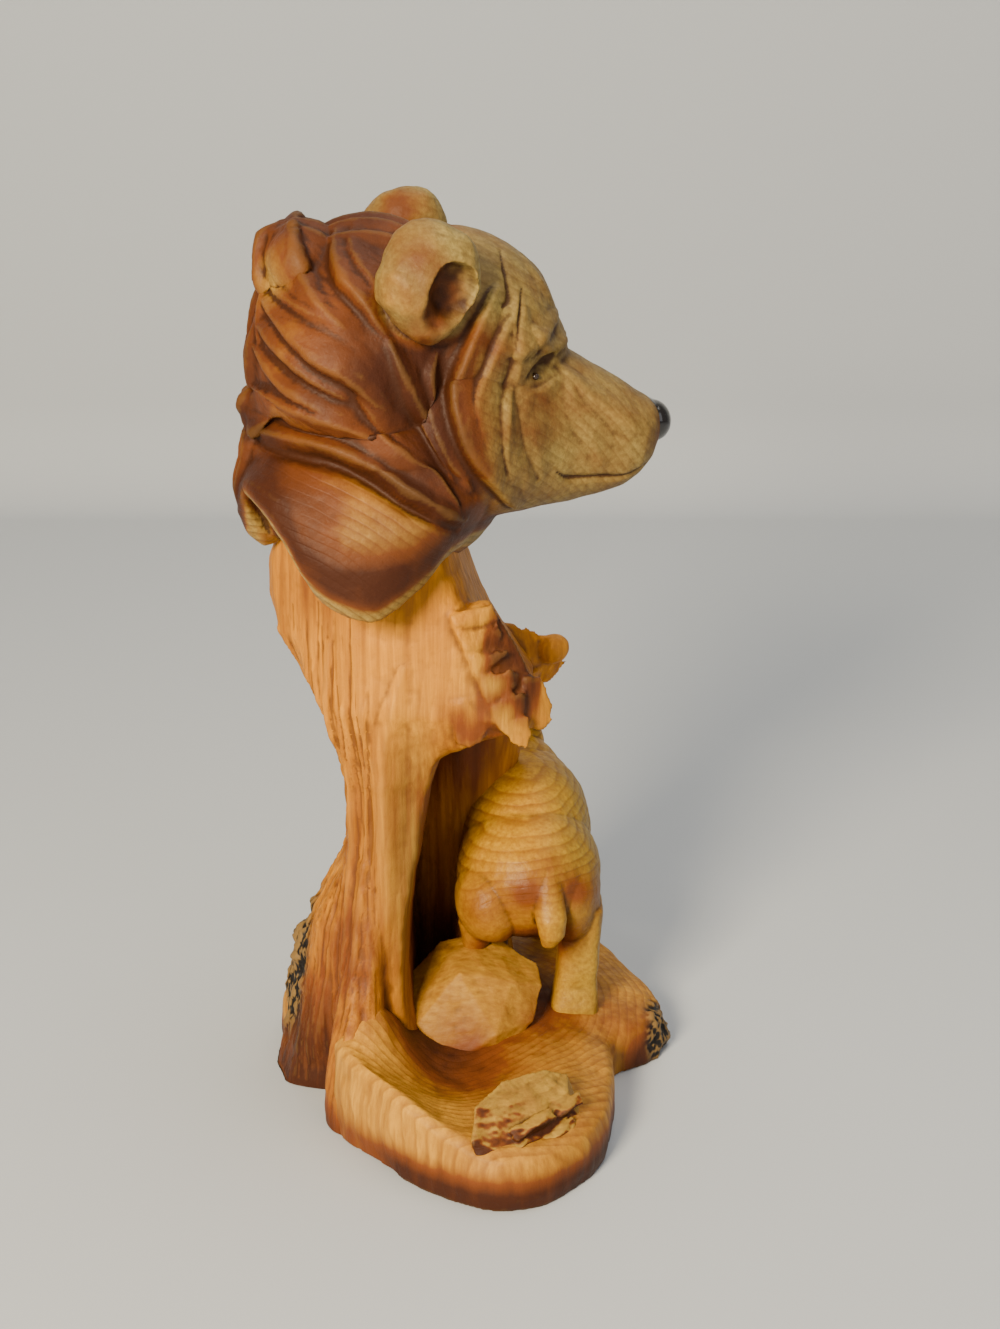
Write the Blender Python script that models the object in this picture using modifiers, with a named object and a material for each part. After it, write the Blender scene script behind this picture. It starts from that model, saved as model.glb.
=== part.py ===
# Mother bear and cub statue: a resin casting in the manner of a chainsaw carving.
# A mother bear's bust stands on a hollowed trunk, and her cub stands on the plinth in front of it.
# Metres, +Z up, mother facing +X, origin on the underside below the middle of the plinth.

import math

import bmesh
import bpy
import numpy as np
from mathutils import Euler, Matrix, Vector
from mathutils.bvhtree import BVHTree

# Driving sizes
PLINTH_WIDTH = 0.102        # along X
PLINTH_LENGTH = 0.127       # along Y
PLINTH_THICKNESS = 0.016    # at the rim, on the whole
TRUNK_HEIGHT = 0.124        # table to the seat of the bust
TRUNK_DEPTH = 0.063         # along X, through the hood over the hollow
TRUNK_BREADTH = 0.062       # along Y, through the hood over the hollow
BUST_HEIGHT = 0.090         # seat to the tops of the ears
CUB_LENGTH = 0.066          # rump to nose
BOULDER_LENGTH = 0.031
KNOT_LENGTH = 0.028
HEAD_TURN = math.radians(8)     # away from the near side
HEAD_TILT = math.radians(2.5)   # towards the near side
KNOT_TURN = math.radians(36)
LOCK_DEPTH = 0.0026         # how far the deepest cut locks of fur stand out
NAPE_LOCKS = 4              # locks across the back of the neck, in each of three tiers
GRAIN_RIDGES = 15           # ridges of grain down the outside of the trunk
GRAIN_DEPTH = 0.0013        # how far those ridges stand out
CAST_CELL = 0.0010          # grid on which the masses run together
FACETS = 9000               # triangles in the finished solid

# Where the pieces stand: the bust by its middle over the trunk, the rest on the plinth
BUST_AT = -0.286 * TRUNK_DEPTH
CUB_AT = (0.147 * PLINTH_WIDTH, -0.0315 * PLINTH_LENGTH)
BOULDER_AT = (0.02 * PLINTH_WIDTH, -0.016 * PLINTH_LENGTH, 0.5 * PLINTH_THICKNESS)
KNOT_AT = (0.132 * PLINTH_WIDTH, -0.386 * PLINTH_LENGTH, 0.53 * PLINTH_THICKNESS)

# The free forms are written in parts of one leading size, each about a millimetre of the carving.
BUST_PART = BUST_HEIGHT / 90
CUB_PART = CUB_LENGTH / 66
BOULDER_PART = BOULDER_LENGTH / 31
KNOT_PART = KNOT_LENGTH / 28

# Reach of the plinth's edge by bearing in degrees from the front (+X), in parts of 102 wide and 127 long
PLINTH_EDGE = [
    (4, 48), (13, 51.5), (37, 54), (52, 58), (75, 61), (95, 61), (115, 58), (135, 55), (152, 52), (166, 49),
    (176, 43), (187, 35), (207, 36), (224, 43), (246, 49.5), (264, 58.5), (277, 65.5), (288, 64), (302, 57),
    (319, 46), (338, 38.5), (352, 37)]
# Height of the rim by bearing, in parts of 16 of the thickness
PLINTH_RIM = [
    (10, 10), (40, 12), (75, 15), (120, 15), (165, 16), (200, 21), (222, 22), (245, 21), (256, 19.5),
    (264, 16.5),
    (274, 13.5), (300, 12.5), (330, 12)]
# The dip of the bowl, the rise to the trunk's root and the one behind the knot: middle (x, y), radius, rise
PLINTH_SWELLS = [(-4, -26, 15, -4.5), (-25, -21, 12, 17), (22, -38, 9, 2)]

# Trunk sections: height in parts of 124, reach to the back and front in parts of 63 of the depth,
# and to the near and far side in parts of 62 of the breadth
TRUNK_SECTIONS = [
    (-2, 32, 9, 15, 42), (6, 30.5, 8, 15, 40), (14, 28.5, 5.5, 16.5, 37), (22, 29, 3, 18, 34),
    (32, 25.5, 2, 19.5, 31), (43, 19.5, 2.5, 20.5, 30), (55, 13, 4, 21.5, 29), (65, 11, 6, 22.5, 28.5),
    (80, 11.5, 8.5, 24, 28.5), (87, 13, 11, 25.5, 29), (92, 15, 19, 27, 30), (95.5, 16.5, 30, 28.5, 31),
    (100, 18.5, 32, 29, 31.5), (105, 21, 28.5, 29.5, 32), (115, 27, 22, 30, 31.5), (122, 29.5, 19, 29, 31),
    (131, 29, 16, 27, 29), (140, 26, 13, 25, 26)]
TRUNK_AXIS = (-0.254 * TRUNK_DEPTH, 0.032 * TRUNK_BREADTH)
# Flat hewn faces down the trunk: the bearing each looks to and its distance from the trunk's axis, on the
# trunk and on the hood above it
HEWN_FACES = [((284, 19.5), (262, 23.5)), ((236, 18.6), (228, 22.5)), ((198, 20), (198, 28)),
              ((140, 23), (140, 27))]
HEWN_SPREAD = 0.5           # how much farther out they are at the foot than halfway up
# The sharp edge between the grooved side and the smooth strip: (x, z)
HEWN_EDGE = [(-13.5, 111), (-16.5, 100), (-18.3, 90), (-18.8, 76), (-20.3, 54), (-21.8, 38), (-24, 29)]
# The torn front of the hood: the corners of its near face, then those of each leaf-shaped chip on it.
# The last two chips are on the far side.
TORN_FACE = [
    (-2.8, -25.0, 123.6), (0.8, -25.0, 118.6), (4.1, -25.0, 110.6), (5.4, -25.0, 105.2),
    (8, -25.0, 97.7), (12.4, -24.3, 94.8), (5.9, -18.0, 126.6), (9.8, -18.0, 118.4),
    (13.7, -18.0, 113.0), (15.5, -18.0, 107.0), (17, -18.0, 100.7), (15, -18.0, 96.5), (-4, -14, 124),
    (4, -12, 97)
]
TORN_LEAVES = [
    [(-3.5, -24.6, 125.0), (-1.5, -25.7, 122.4), (6.5, -20.1, 126.2), (8.6, -19.8, 122.2),
     (1, -20.8, 119.6)],
    [(-2, -25.4, 120.4), (0.8, -25.9, 116.9), (9.2, -20.4, 120.7), (8, -21.1, 116.3), (2, -20.8, 115.6)],
    [(1.4, -25.6, 114.9), (3.4, -25.6, 110.9), (10.5, -22.2, 116.4), (9.5, -19.4, 111.8),
     (4, -20.8, 110.6)],
    [(4.1, -25.7, 110.5), (5.1, -25.7, 104.4), (10.6, -23.7, 112.4), (11, -23.6, 107.2),
     (13.5, -18.7, 108.4), (6, -20.1, 105.7)],
    [(6.3, -25.9, 103.4), (8, -25.7, 97.7), (13, -23.7, 107.2), (13.4, -23.3, 101.6),
     (15.5, -18.7, 102.9), (8, -20.1, 99.7)],
    [(8.3, -25.6, 98.9), (14.2, -23.9, 101.2), (15.6, -23.3, 95.8), (13.8, -24.2, 92.7),
     (10.6, -25.1, 94.0), (12, -19.4, 97.8)],
    [(13.5, -21.1, 109.5), (17.4, -18.0, 108.5), (20.2, -17, 101), (19.6, -18.0, 96.4),
     (16.4, -18.7, 95.1), (14.5, -20.4, 97.7), (12, -12, 102)],
    [(2, 20, 116), (6, 24, 114), (8, 22, 108), (4, 27, 107), (0, 27, 113), (-2, 20, 108)],
    [(5, 20, 109), (12, 24, 108), (13, 22, 102), (9, 28, 101), (4, 27, 107), (2, 20, 102)]
]
# The root that sweeps down from the trunk's near edge into the rim: height, middle (x, y) and half sizes
ROOT = [
    (-2, -23, -24, 10.5, 11), (8, -23.5, -24, 10, 10.5), (14, -24.4, -23.5, 7.8, 9.2),
    (20, -25.2, -21.6, 6.2, 7.8), (27, -24.6, -18.4, 5.3, 6.2), (35, -23.8, -16, 4.8, 5.2),
    (48, -22.8, -14.4, 4.4, 4.4), (62, -22, -13.4, 3.4, 3.6)]
# The wall that closes the hollow on the far side: height, middle (x, y) and half sizes
FAR_WALL = [
    (4, -4, 34, 17, 13), (20, -3, 32, 14, 10), (40, -2, 30, 12, 8), (60, -1, 29, 12, 7.5),
    (80, 1, 28, 13, 8), (96, 3, 26, 15, 9)]

# The mother's shoulders: height, back, front and half breadth, in parts of 90 of the bust's height
CAPE_SECTIONS = [(9, -20, 10, 24), (4.5, -25, 17, 33), (4, -27.5, 18.5, 35), (8, -31, 21, 37.5),
                 (15, -33, 24, 38.5),
                 (22, -33, 27, 37.5), (29, -31, 27, 34), (36, -27, 24, 29)]
# How much higher or lower its edge hangs, by bearing in degrees from the front
CAPE_EDGE = [
    (0, 8), (20, 9), (45, 9), (60, 5), (75, 1), (95, -1.5), (110, 3), (125, 12), (145, 16), (165, 11),
    (182, 8.5), (197, 7.5), (207, 13), (219, 20), (236, 17), (246, 11.5), (253, 4.5), (261, 0.5),
    (275, -2.3), (282, -0.5), (292, 3), (299, 5.5), (308, 8.5), (325, 9)]

# Cut locks of the mother's coat on her near side, from the crown and nape to the throat. Each has a sharp
# crest through points (x, z), from the middle of the bust's seat, and slopes off it to the left and to the
# right of the way it runs: left and right width, height, crest. All are in parts of 90 of the bust's height.
COAT_LOCKS = [
    (2.0, 11, 2.4, [(-17.5, 84), (-16.3, 78), (-13.7, 72), (-10, 67.5), (-5.5, 63.5)]),
    (8, 1.8, 2.0, [(-25.5, 71), (-19.7, 68.7), (-14.8, 66.5), (-9.7, 65), (-5.3, 63)]),
    (7, 1.8, 2.2, [(-9, 85), (-8.9, 77.7), (-6.7, 72.5), (-2.9, 68.7), (1, 63.7)]),
    (6, 1.5, 1.5, [(-4, 86), (-5.8, 80.3), (-4.5, 76.3), (-1.2, 72.5), (0.7, 68)]),
    (10, 2.0, 2.6, [(-26, 68), (-19.4, 63), (-15.4, 60), (-11, 56.6), (-5.4, 53.5), (1, 47)]),
    (5, 1.6, 1.6, [(-27.5, 64), (-23, 60), (-18.8, 57.3), (-13, 53), (-6.8, 49.7)]),
    (3.4, 4, 2.2, [(-26.5, 57.5), (-19.7, 51.6), (-13.2, 48.6), (-7, 45.5), (0.3, 40.6), (6, 35)]),
    (2.0, 9, 2.8, [(-30, 48.5), (-22.3, 48.5), (-16.5, 47.6), (-4.5, 44.5), (2.8, 39.4), (11.4, 33),
                   (16.5, 27)]),
    (6, 1.8, 2.4, [(-31, 38.5), (-20.3, 39), (-10.4, 38), (-2.2, 34.7), (5.3, 30), (12.6, 26), (18, 22.5)]),
    (5, 2.4, 1.8, [(3, 60.6), (7.8, 49), (11.4, 40), (15, 32)]),
    (6, 2.0, 1.8, [(-3.4, 49.8), (1.5, 42.4), (7.7, 36.8), (13.8, 31)]),
    (4, 2.4, 1.6, [(12.5, 58), (10.9, 52.7), (12, 44), (15.7, 35), (19.4, 29)]),
    (7, 2.0, 2.8, [(24.5, 70), (19.5, 59.7), (16.4, 51.7), (17, 44.6), (19.5, 37), (23.8, 30.5), (29, 22.5)]),
    (6, 2.0, 1.6, [(28, 64), (23.8, 55.8), (20.7, 47.5), (22.6, 38.8), (26.3, 28.6)]),
    (7, 2.0, 1.0, [(29.7, 68.6), (29.2, 62), (29.7, 55), (27.6, 47), (27, 36.4), (28.7, 27)]),
    (4, 2.0, 1.2, [(32.4, 61.5), (34.5, 58.2), (36.8, 56.4), (40.2, 57), (42, 58.2)]),
    (6, 6, 0.8, [(41.5, 50), (48, 43.2), (56, 37.4), (59.3, 34.5)]),
]
# Grooves of the same side: half width, depth, then (x, z)
COAT_GROOVES = [
    (2.6, 1.6, [(-28, 36.5), (-20.3, 36.2), (-10.4, 35.6), (-2.2, 33), (5.3, 28), (11.4, 24.5), (17, 20.4)]),
    (1.6, 1.8, [(-30, 27), (-27.5, 21), (-25.5, 15)]),
]
MOUTH_LINE = [(60, 29), (55, 25.2), (48, 24.6), (40, 26.5)]
EYE_SOCKET = [(40, 50), (36.5, 51.5), (33, 50)]
EAR_CENTRE = (7.5, 27, 74.5)
EAR_RADII = (11, 8, 13)
EAR_LEAN = (14, 10)         # outwards and forwards, in degrees


def clear_scene():
    for obj in list(bpy.data.objects):
        bpy.data.objects.remove(obj)


def mesh_object(name, points, faces, collection):
    mesh = bpy.data.meshes.new(name)
    mesh.from_pydata([tuple(p) for p in points], [], faces)
    obj = bpy.data.objects.new(name, mesh)
    collection.objects.link(obj)
    return obj


def place(x, y, z, part=0.001):
    return Matrix.Translation((x, y, z)) @ Matrix.Scale(part, 4)


def ball(name, centre, radii, collection, frame, tilt=(0, 0, 0)):
    """A sphere stretched to three radii and tilted by degrees about X, Y and Z, in a frame of its own."""
    bm = bmesh.new()
    bmesh.ops.create_uvsphere(bm, u_segments=36, v_segments=24, radius=1)
    turn = Euler([math.radians(a) for a in tilt]).to_matrix().to_4x4()
    bmesh.ops.transform(bm, matrix=frame @ Matrix.Translation(centre) @ turn @ Matrix.Diagonal((*radii, 1)),
                        verts=bm.verts)
    mesh = bpy.data.meshes.new(name)
    bm.to_mesh(mesh)
    bm.free()
    obj = bpy.data.objects.new(name, mesh)
    collection.objects.link(obj)
    return obj


def rock(name, corners, collection, frame):
    """A cut block: the convex hull of its corners."""
    bm = bmesh.new()
    for corner in corners:
        bm.verts.new(frame @ Vector(corner))
    bmesh.ops.convex_hull(bm, input=bm.verts)
    bmesh.ops.delete(bm, geom=[v for v in bm.verts if not v.link_faces], context="VERTS")
    mesh = bpy.data.meshes.new(name)
    bm.to_mesh(mesh)
    bm.free()
    obj = bpy.data.objects.new(name, mesh)
    collection.objects.link(obj)
    return obj


def loft(name, rings, collection):
    """A closed skin through rings of equally many points, each counter-clockwise seen from the last ring."""
    rings = np.asarray(rings)
    count, sides = rings.shape[:2]
    faces = [
        (i * sides + j, i * sides + (j + 1) % sides, (i + 1) * sides + (j + 1) % sides, (i + 1) * sides + j)
        for i in range(count - 1)
        for j in range(sides)
    ]
    faces.append(tuple(reversed(range(sides))))
    faces.append(tuple((count - 1) * sides + j for j in range(sides)))
    return mesh_object(name, rings.reshape(-1, 3), faces, collection)


def limb(name, stations, collection, frame, sides=20, squareness=1.0):
    """A limb of level rings through stations (x, y, z, half width across, half width along)."""
    turn = np.linspace(0, 2 * math.pi, sides, endpoint=False)
    across = np.sign(np.cos(turn)) * np.abs(np.cos(turn)) ** squareness
    along = np.sign(np.sin(turn)) * np.abs(np.sin(turn)) ** squareness
    rings = []
    for x, y, z, wide, deep in sorted(stations, key=lambda s: s[2]):
        ring = [frame @ Vector((x + wide * a, y + deep * b, z)) for a, b in zip(across, along)]
        rings.append(ring)
    return loft(name, rings, collection)


def around(pairs, bearings):
    """Values given at a few bearings in degrees, carried smoothly round the whole turn."""
    given = np.array(sorted(pairs), float)
    wrapped = np.vstack([given - (360, 0), given, given + (360, 0)])
    at = np.degrees(bearings) % 360
    left = np.searchsorted(wrapped[:, 0], at, side="right") - 1
    p0, p1, p2, p3 = (wrapped[left + k, 1] for k in (-1, 0, 1, 2))
    t = (at - wrapped[left, 0]) / (wrapped[left + 1, 0] - wrapped[left, 0])
    return p1 + 0.5 * t * (p2 - p0 + t * (2 * p0 - 5 * p1 + 4 * p2 - p3 + t * (3 * (p1 - p2) + p3 - p0)))


def plinth(collection):
    """The ground: a lobed edge, a rim of changing height and a shallow bowl inside it."""
    bearings = np.linspace(0, 2 * math.pi, 120, endpoint=False)
    reach = around(PLINTH_EDGE, bearings)
    rim = around(PLINTH_RIM, bearings) / 16 * PLINTH_THICKNESS
    edge = np.stack([np.cos(bearings) * reach / 102 * PLINTH_WIDTH,
                     np.sin(bearings) * reach / 127 * PLINTH_LENGTH], axis=1)
    floor = PLINTH_THICKNESS * 0.9
    rings = [np.column_stack([edge * 0.99, np.full(len(edge), -0.002)])]
    for share, height in ((1.0, 0.25), (0.995, 0.6), (0.975, 0.9), (0.94, 1.0)):
        rings.append(np.column_stack([edge * share, rim * height]))
    for share in (0.89, 0.83, 0.76, 0.68, 0.58, 0.45, 0.3, 0.12):
        ground = edge * share
        slope = (share / 0.94) ** 5
        height = floor + (rim - floor) * slope
        for x, y, radius, rise in PLINTH_SWELLS:
            middle = np.array([x / 102 * PLINTH_WIDTH, y / 127 * PLINTH_LENGTH])
            away = np.linalg.norm(ground - middle, axis=1) / (radius / 127 * PLINTH_LENGTH)
            height += rise / 16 * PLINTH_THICKNESS * np.exp(-away ** 2) * (1 - slope)
        rings.append(np.column_stack([ground, height]))
    return loft("plinth_mass", rings, collection)


def trunk(collection):
    """The hollowed trunk: a tall slab below, and above the hollow a hood that leans out over the cub."""
    bearings = np.linspace(0, 2 * math.pi, 120, endpoint=False)
    cosine, sine = np.cos(bearings), np.sin(bearings)
    rings = []
    for height, back, front, near, far in TRUNK_SECTIONS:
        reach_x = np.where(cosine > 0, front, back) / 63 * TRUNK_DEPTH
        reach_y = np.where(sine > 0, far, near) / 62 * TRUNK_BREADTH
        power = 3.2 if height < 92 else 4
        radius = (np.abs(cosine / reach_x) ** power + np.abs(sine / reach_y) ** power) ** (-1 / power)
        for on_trunk, on_hood in HEWN_FACES:
            hood = min(max((height - 78) / 22, 0), 1)
            facing, distance = (a + (b - a) * hood for a, b in zip(on_trunk, on_hood))
            turned = np.cos(bearings - math.radians(facing))
            spread = 1 + HEWN_SPREAD * (max(62 - height, 0) / 62) ** 2
            flat = distance / 62 * TRUNK_BREADTH * spread / np.maximum(turned, 0.05)
            radius = np.minimum(radius, flat)
        rings.append(np.column_stack([TRUNK_AXIS[0] + cosine * radius, TRUNK_AXIS[1] + sine * radius,
                                      np.full(len(bearings), height / 124 * TRUNK_HEIGHT)]))
    return loft("trunk_mass", rings, collection)


def wall_and_root(collection):
    for name, sections in (("far_wall", FAR_WALL), ("root", ROOT)):
        stations = [(x, y, z, wide, deep) for z, x, y, wide, deep in sections]
        limb(name, stations, collection, place(0, 0, 0, TRUNK_HEIGHT / 124), sides=40)


def torn_edge(collection):
    """The broken front of the hood: a torn face with leaf-shaped chips, and the torn ends."""
    frame = place(0, 0, 0, TRUNK_HEIGHT / 124)
    rock("torn_face", TORN_FACE, collection, frame)
    for leaf in TORN_LEAVES:
        rock("leaf", leaf, collection, frame)
    rock("far_end", [(9, 22, 108), (15, 24, 107), (21, 26, 103), (24.5, 28, 99), (25, 29, 96), (21, 29.5, 90),
                     (16, 28, 91), (11, 26, 98), (13, 20, 100)], collection, frame)
    ball("far_knob", (21, 25, 101), (4, 3.6, 3.6), collection, frame)
    rock("stub", [(-3, -24, 104), (0, -25, 104.5), (5, -24, 98), (4, -23.5, 94.5), (1.5, -23.5, 93),
                  (-1.5, -23, 93.5),
                  (-1, -17, 94), (-4, -17, 104), (4, -17, 99)], collection, frame)


def bust_frame():
    return place(BUST_AT, 0, TRUNK_HEIGHT, BUST_PART)


def head_frame():
    """The head turns and tilts a little on the neck."""
    neck = Vector((8, 0, 50))
    turn = Matrix.Rotation(HEAD_TURN, 4, "Z") @ Matrix.Rotation(HEAD_TILT, 4, "X")
    return bust_frame() @ Matrix.Translation(neck) @ turn @ Matrix.Translation(-neck)


def bust(collection):
    frame, head = bust_frame(), head_frame()
    ball("neck", (-1, 0, 30), (30, 31, 26), collection, frame)
    ball("nape", (-3, 0, 54), (26, 31, 29), collection, frame)
    ball("tuft", (-16.5, -5, 75), (9, 14, 8), collection, frame, tilt=(0, 20, 0))
    rock("tuft_tip", [(-26.5, -6, 80.5), (-17, -13, 84), (-16, -19, 76), (-25, -11, 69), (-18, 4, 84),
                      (-21, 6, 73)],
         collection, frame)
    rock("nape_tip", [(-31.5, -6, 45), (-24, -18, 48), (-20, -23, 46), (-28, -14, 38), (-27, 6, 46),
                      (-28, 4, 37)],
         collection, frame)
    cape(collection, frame)
    ball("skull", (14.5, 0, 57.5), (26, 25, 25), collection, head)
    ball("brow", (29.5, 0, 57), (13, 16, 12), collection, head, tilt=(0, 28, 0))
    for side in (-1, 1):
        ball("cheek", (15, side * 14, 40), (15, 14.5, 20), collection, head)
        ear(side, collection, head)
    muzzle(collection, head)
    ball("nose", (62.5, 0, 37.5), (3.8, 5.2, 4.2), collection, head, tilt=(0, -12, 0))


def cape(collection, frame):
    """The mother's shoulders, a thick bell with a cut lower edge that hangs over the trunk."""
    bearings = np.linspace(0, 2 * math.pi, 72, endpoint=False)
    cosine, sine = np.cos(bearings), np.sin(bearings)
    rings = []
    for height, back, front, half in CAPE_SECTIONS:
        middle, reach = (front + back) / 2, (front - back) / 2
        radius = (np.abs(cosine / reach) ** 2.2 + np.abs(sine / half) ** 2.2) ** (-1 / 2.2)
        sag = around(CAPE_EDGE, bearings) * max(0.0, (34 - height) / 30)
        rings.append([frame @ Vector((middle + a, b, height + c))
                      for a, b, c in zip(cosine * radius, sine * radius, sag)])
    return loft("cape", rings, collection)


def ear(side, collection, frame):
    """A thick round cup, open to the front and outwards."""
    x, y, z = EAR_CENTRE
    tilt = (side * EAR_LEAN[0], EAR_LEAN[1], 0)
    outer = ball("ear", (x, side * y, z), EAR_RADII, collection, frame, tilt)
    inner = ball("ear_hollow", (x + 5, side * (y + 6.5), z - 3), (6.4, 6.5, 7.6), collection, frame, tilt)
    cut = outer.modifiers.new("hollow", "BOOLEAN")
    cut.operation, cut.solver, cut.object = "DIFFERENCE", "EXACT", inner
    apply_modifiers(outer)
    bpy.data.objects.remove(inner)


def muzzle(collection, frame):
    """Sections from the cheeks to the nose: place along the head, underside, top and half width."""
    stations = [(14, 17, 62, 27), (22, 17.5, 60, 26), (29, 18.5, 58, 23), (35, 19, 54.5, 19),
                (41, 19.5, 51, 15.5),
                (48, 21, 47.8, 13), (54, 23, 45.2, 11.6), (59, 26, 43, 10), (62.5, 30, 41.3, 7.6),
                (64.5, 33.5, 39.5, 4.5)]
    turn = np.linspace(0, 2 * math.pi, 36, endpoint=False)
    rings = []
    for along, low, high, half in stations:
        y = half * np.sign(np.cos(turn)) * np.abs(np.cos(turn)) ** 0.85
        z = (high + low) / 2 + (high - low) / 2 * np.sign(np.sin(turn)) * np.abs(np.sin(turn)) ** 0.85
        rings.append([frame @ Vector((along, b, c)) for b, c in zip(y, z)])
    return loft("muzzle", rings, collection)


def cub(collection):
    """The cub stands on all fours with its back to the near side; its own y runs from rump to nose."""
    frame = place(*CUB_AT, 0, CUB_PART)
    ball("cub_rump", (0, 19, 47), (18, 20.5, 16.5), collection, frame)
    ball("cub_barrel", (-0.5, 32, 52.5), (16.5, 24, 18), collection, frame, tilt=(14, 0, 0))
    ball("cub_shoulder", (-3, 46, 58), (13, 13, 14), collection, frame)
    ball("cub_head", (-5, 55, 67), (9.5, 9.5, 9), collection, frame)
    ball("cub_snout", (-5.5, 62.5, 64), (4.6, 5.5, 4.2), collection, frame)
    for side in (-1, 1):
        ball("cub_ear", (-5 + side * 7, 53, 74.5), (3.4, 2.4, 3.2), collection, frame)
    ball("cub_haunch", (-9.5, 10, 42.5), (8.5, 11.5, 10.5), collection, frame, tilt=(0, -12, 0))
    limb("cub_knee", [(-13, 9.5, 27.5, 1.2, 1.4), (-13, 9.5, 31, 3.2, 3.4), (-12, 10, 37, 5.5, 6)],
         collection, frame)
    ball("cub_thigh", (10.5, 15, 43), (7.5, 13, 13), collection, frame)
    limb("cub_tail", [(4.6, -1.6, 35.5, 1.6, 1.4), (5.4, -2, 38.5, 3.2, 2.8), (5.2, -1.4, 43, 3.9, 3.4),
                      (4.8, 1.5, 49, 3.6, 3.6), (4.5, 5, 54, 3, 4)], collection, frame)
    limb("cub_leg_near", [(13, 14, 40, 5.4, 7), (12.5, 12, 30, 5.2, 5.6), (12, 11.5, 20, 5.2, 5.4),
                          (11.5, 11, 15, 5.8, 6.4), (11.5, 11, 9, 5.8, 6.4)], collection, frame,
                          squareness=0.5)
    limb("cub_leg_inner", [(-11, 18, 38, 7, 7), (-11, 20, 24, 6, 6), (-11, 20, 8, 6, 6)], collection, frame)
    for side in (-1, 1):
        limb("cub_foreleg", [(-2 + side * 8, 49, 46, 6, 6), (-2 + side * 8.5, 50, 28, 5, 5.2),
                             (-2 + side * 9, 51, 8, 6, 7)], collection, frame)


def boulder(collection):
    frame = place(*BOULDER_AT, BOULDER_PART)
    corners = [(-16, -3, 13), (-15.5, 6, 16), (-9, 10, 22), (3, 11, 24.5), (15, 6, 18), (16.5, 1, 14.5),
               (14, -5, 8),
               (5, -12, 8), (-5, -13.5, 1), (-14, -9, 9), (-4, -5, 21), (9, -3, 18), (-14, 8, 0),
               (12, 10, 0), (6, -10, 0)]
    rock("boulder", corners, collection, frame)


def knot(collection):
    """A broken branch end that lies along the rim, crumbled on top and splintered on its outer face."""
    frame = place(*KNOT_AT, KNOT_PART) @ Matrix.Rotation(KNOT_TURN, 4, "Z")
    body = [(-16, -5, 1), (-16.5, -3, 7), (-12, 2, 12), (-3, 5, 14), (8, 4.5, 13.5), (14, 3, 11),
            (15, -1, 5), (13, -5.5, 1),
            (0, -8, 0), (-10, -7.5, 3.5), (2, -6, 8), (10, -3, 9.5), (-14, 3, -4), (13, 5, -4), (0, -7, -5)]
    rock("knot", body, collection, frame)
    for x, y, z, size in ((-7, -7, 4.5, 6), (3, -7.5, 4, 6.5), (8, -5, 8, 5), (-2, -6.5, 8, 6)):
        splinter = [(-size, -0.6, -1.6), (size, -0.4, -0.8), (size, 1.6, 1.4), (-size, 1.8, 0.8),
                    (0, -1.6, 0.4),
                    (0, 1, -2.4)]
        rock("splinter", splinter, collection,
             frame @ Matrix.Translation((x, y, z)) @ Matrix.Rotation(math.radians(-6), 4, "Y"))


def apply_modifiers(obj):
    """Keeps what the modifiers make as the object's own mesh."""
    depsgraph = bpy.context.evaluated_depsgraph_get()
    mesh = bpy.data.meshes.new_from_object(obj.evaluated_get(depsgraph))
    obj.modifiers.clear()
    obj.data = mesh


def fuse(name, pieces):
    """One skin around all the masses, as the casting has."""
    bm = bmesh.new()
    for piece in pieces:
        bm.from_mesh(piece.data)
    mesh = bpy.data.meshes.new(name)
    bm.to_mesh(mesh)
    bm.free()
    for piece in pieces:
        bpy.data.objects.remove(piece)
    obj = bpy.data.objects.new(name, mesh)
    bpy.context.scene.collection.objects.link(obj)
    remesh = obj.modifiers.new("cast", "REMESH")
    remesh.mode, remesh.voxel_size, remesh.use_remove_disconnected = "VOXEL", CAST_CELL, False
    relax = obj.modifiers.new("relax", "SMOOTH")
    relax.factor, relax.iterations = 0.5, 4
    apply_modifiers(obj)
    keep_largest(obj.data)
    return obj


def keep_largest(mesh):
    """Drops every loose shell but the biggest, so no void stays inside."""
    bm = bmesh.new()
    bm.from_mesh(mesh)
    bm.verts.ensure_lookup_table()
    seen, shells = set(), []
    for start in bm.verts:
        if start.index in seen:
            continue
        shell, queue = [], [start]
        seen.add(start.index)
        while queue:
            vert = queue.pop()
            shell.append(vert)
            for edge in vert.link_edges:
                other = edge.other_vert(vert)
                if other.index not in seen:
                    seen.add(other.index)
                    queue.append(other)
        shells.append(shell)
    shells.sort(key=len)
    bmesh.ops.delete(bm, geom=[v for shell in shells[:-1] for v in shell], context="VERTS")
    bm.to_mesh(mesh)
    bm.free()


def coordinates(mesh):
    points = np.empty(len(mesh.vertices) * 3)
    mesh.vertices.foreach_get("co", points)
    return points.reshape(-1, 3)


def vertex_normals(mesh):
    normals = np.empty(len(mesh.vertices) * 3)
    mesh.vertices.foreach_get("normal", normals)
    return normals.reshape(-1, 3)


def spline(points, steps=6):
    """A smooth line through a few points."""
    points = np.asarray(points, float)
    padded = np.vstack([2 * points[0] - points[1], points, 2 * points[-1] - points[-2]])
    t = np.linspace(0, 1, steps, endpoint=False)[:, None]
    line = []
    for p0, p1, p2, p3 in zip(padded, padded[1:], padded[2:], padded[3:]):
        line.append(p1 + 0.5 * t * (p2 - p0 + t * (2 * p0 - 5 * p1 + 4 * p2 - p3 + t * (3 * (p1 - p2) + p3 - p0))))
    return np.vstack([*line, points[-1:]])


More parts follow.
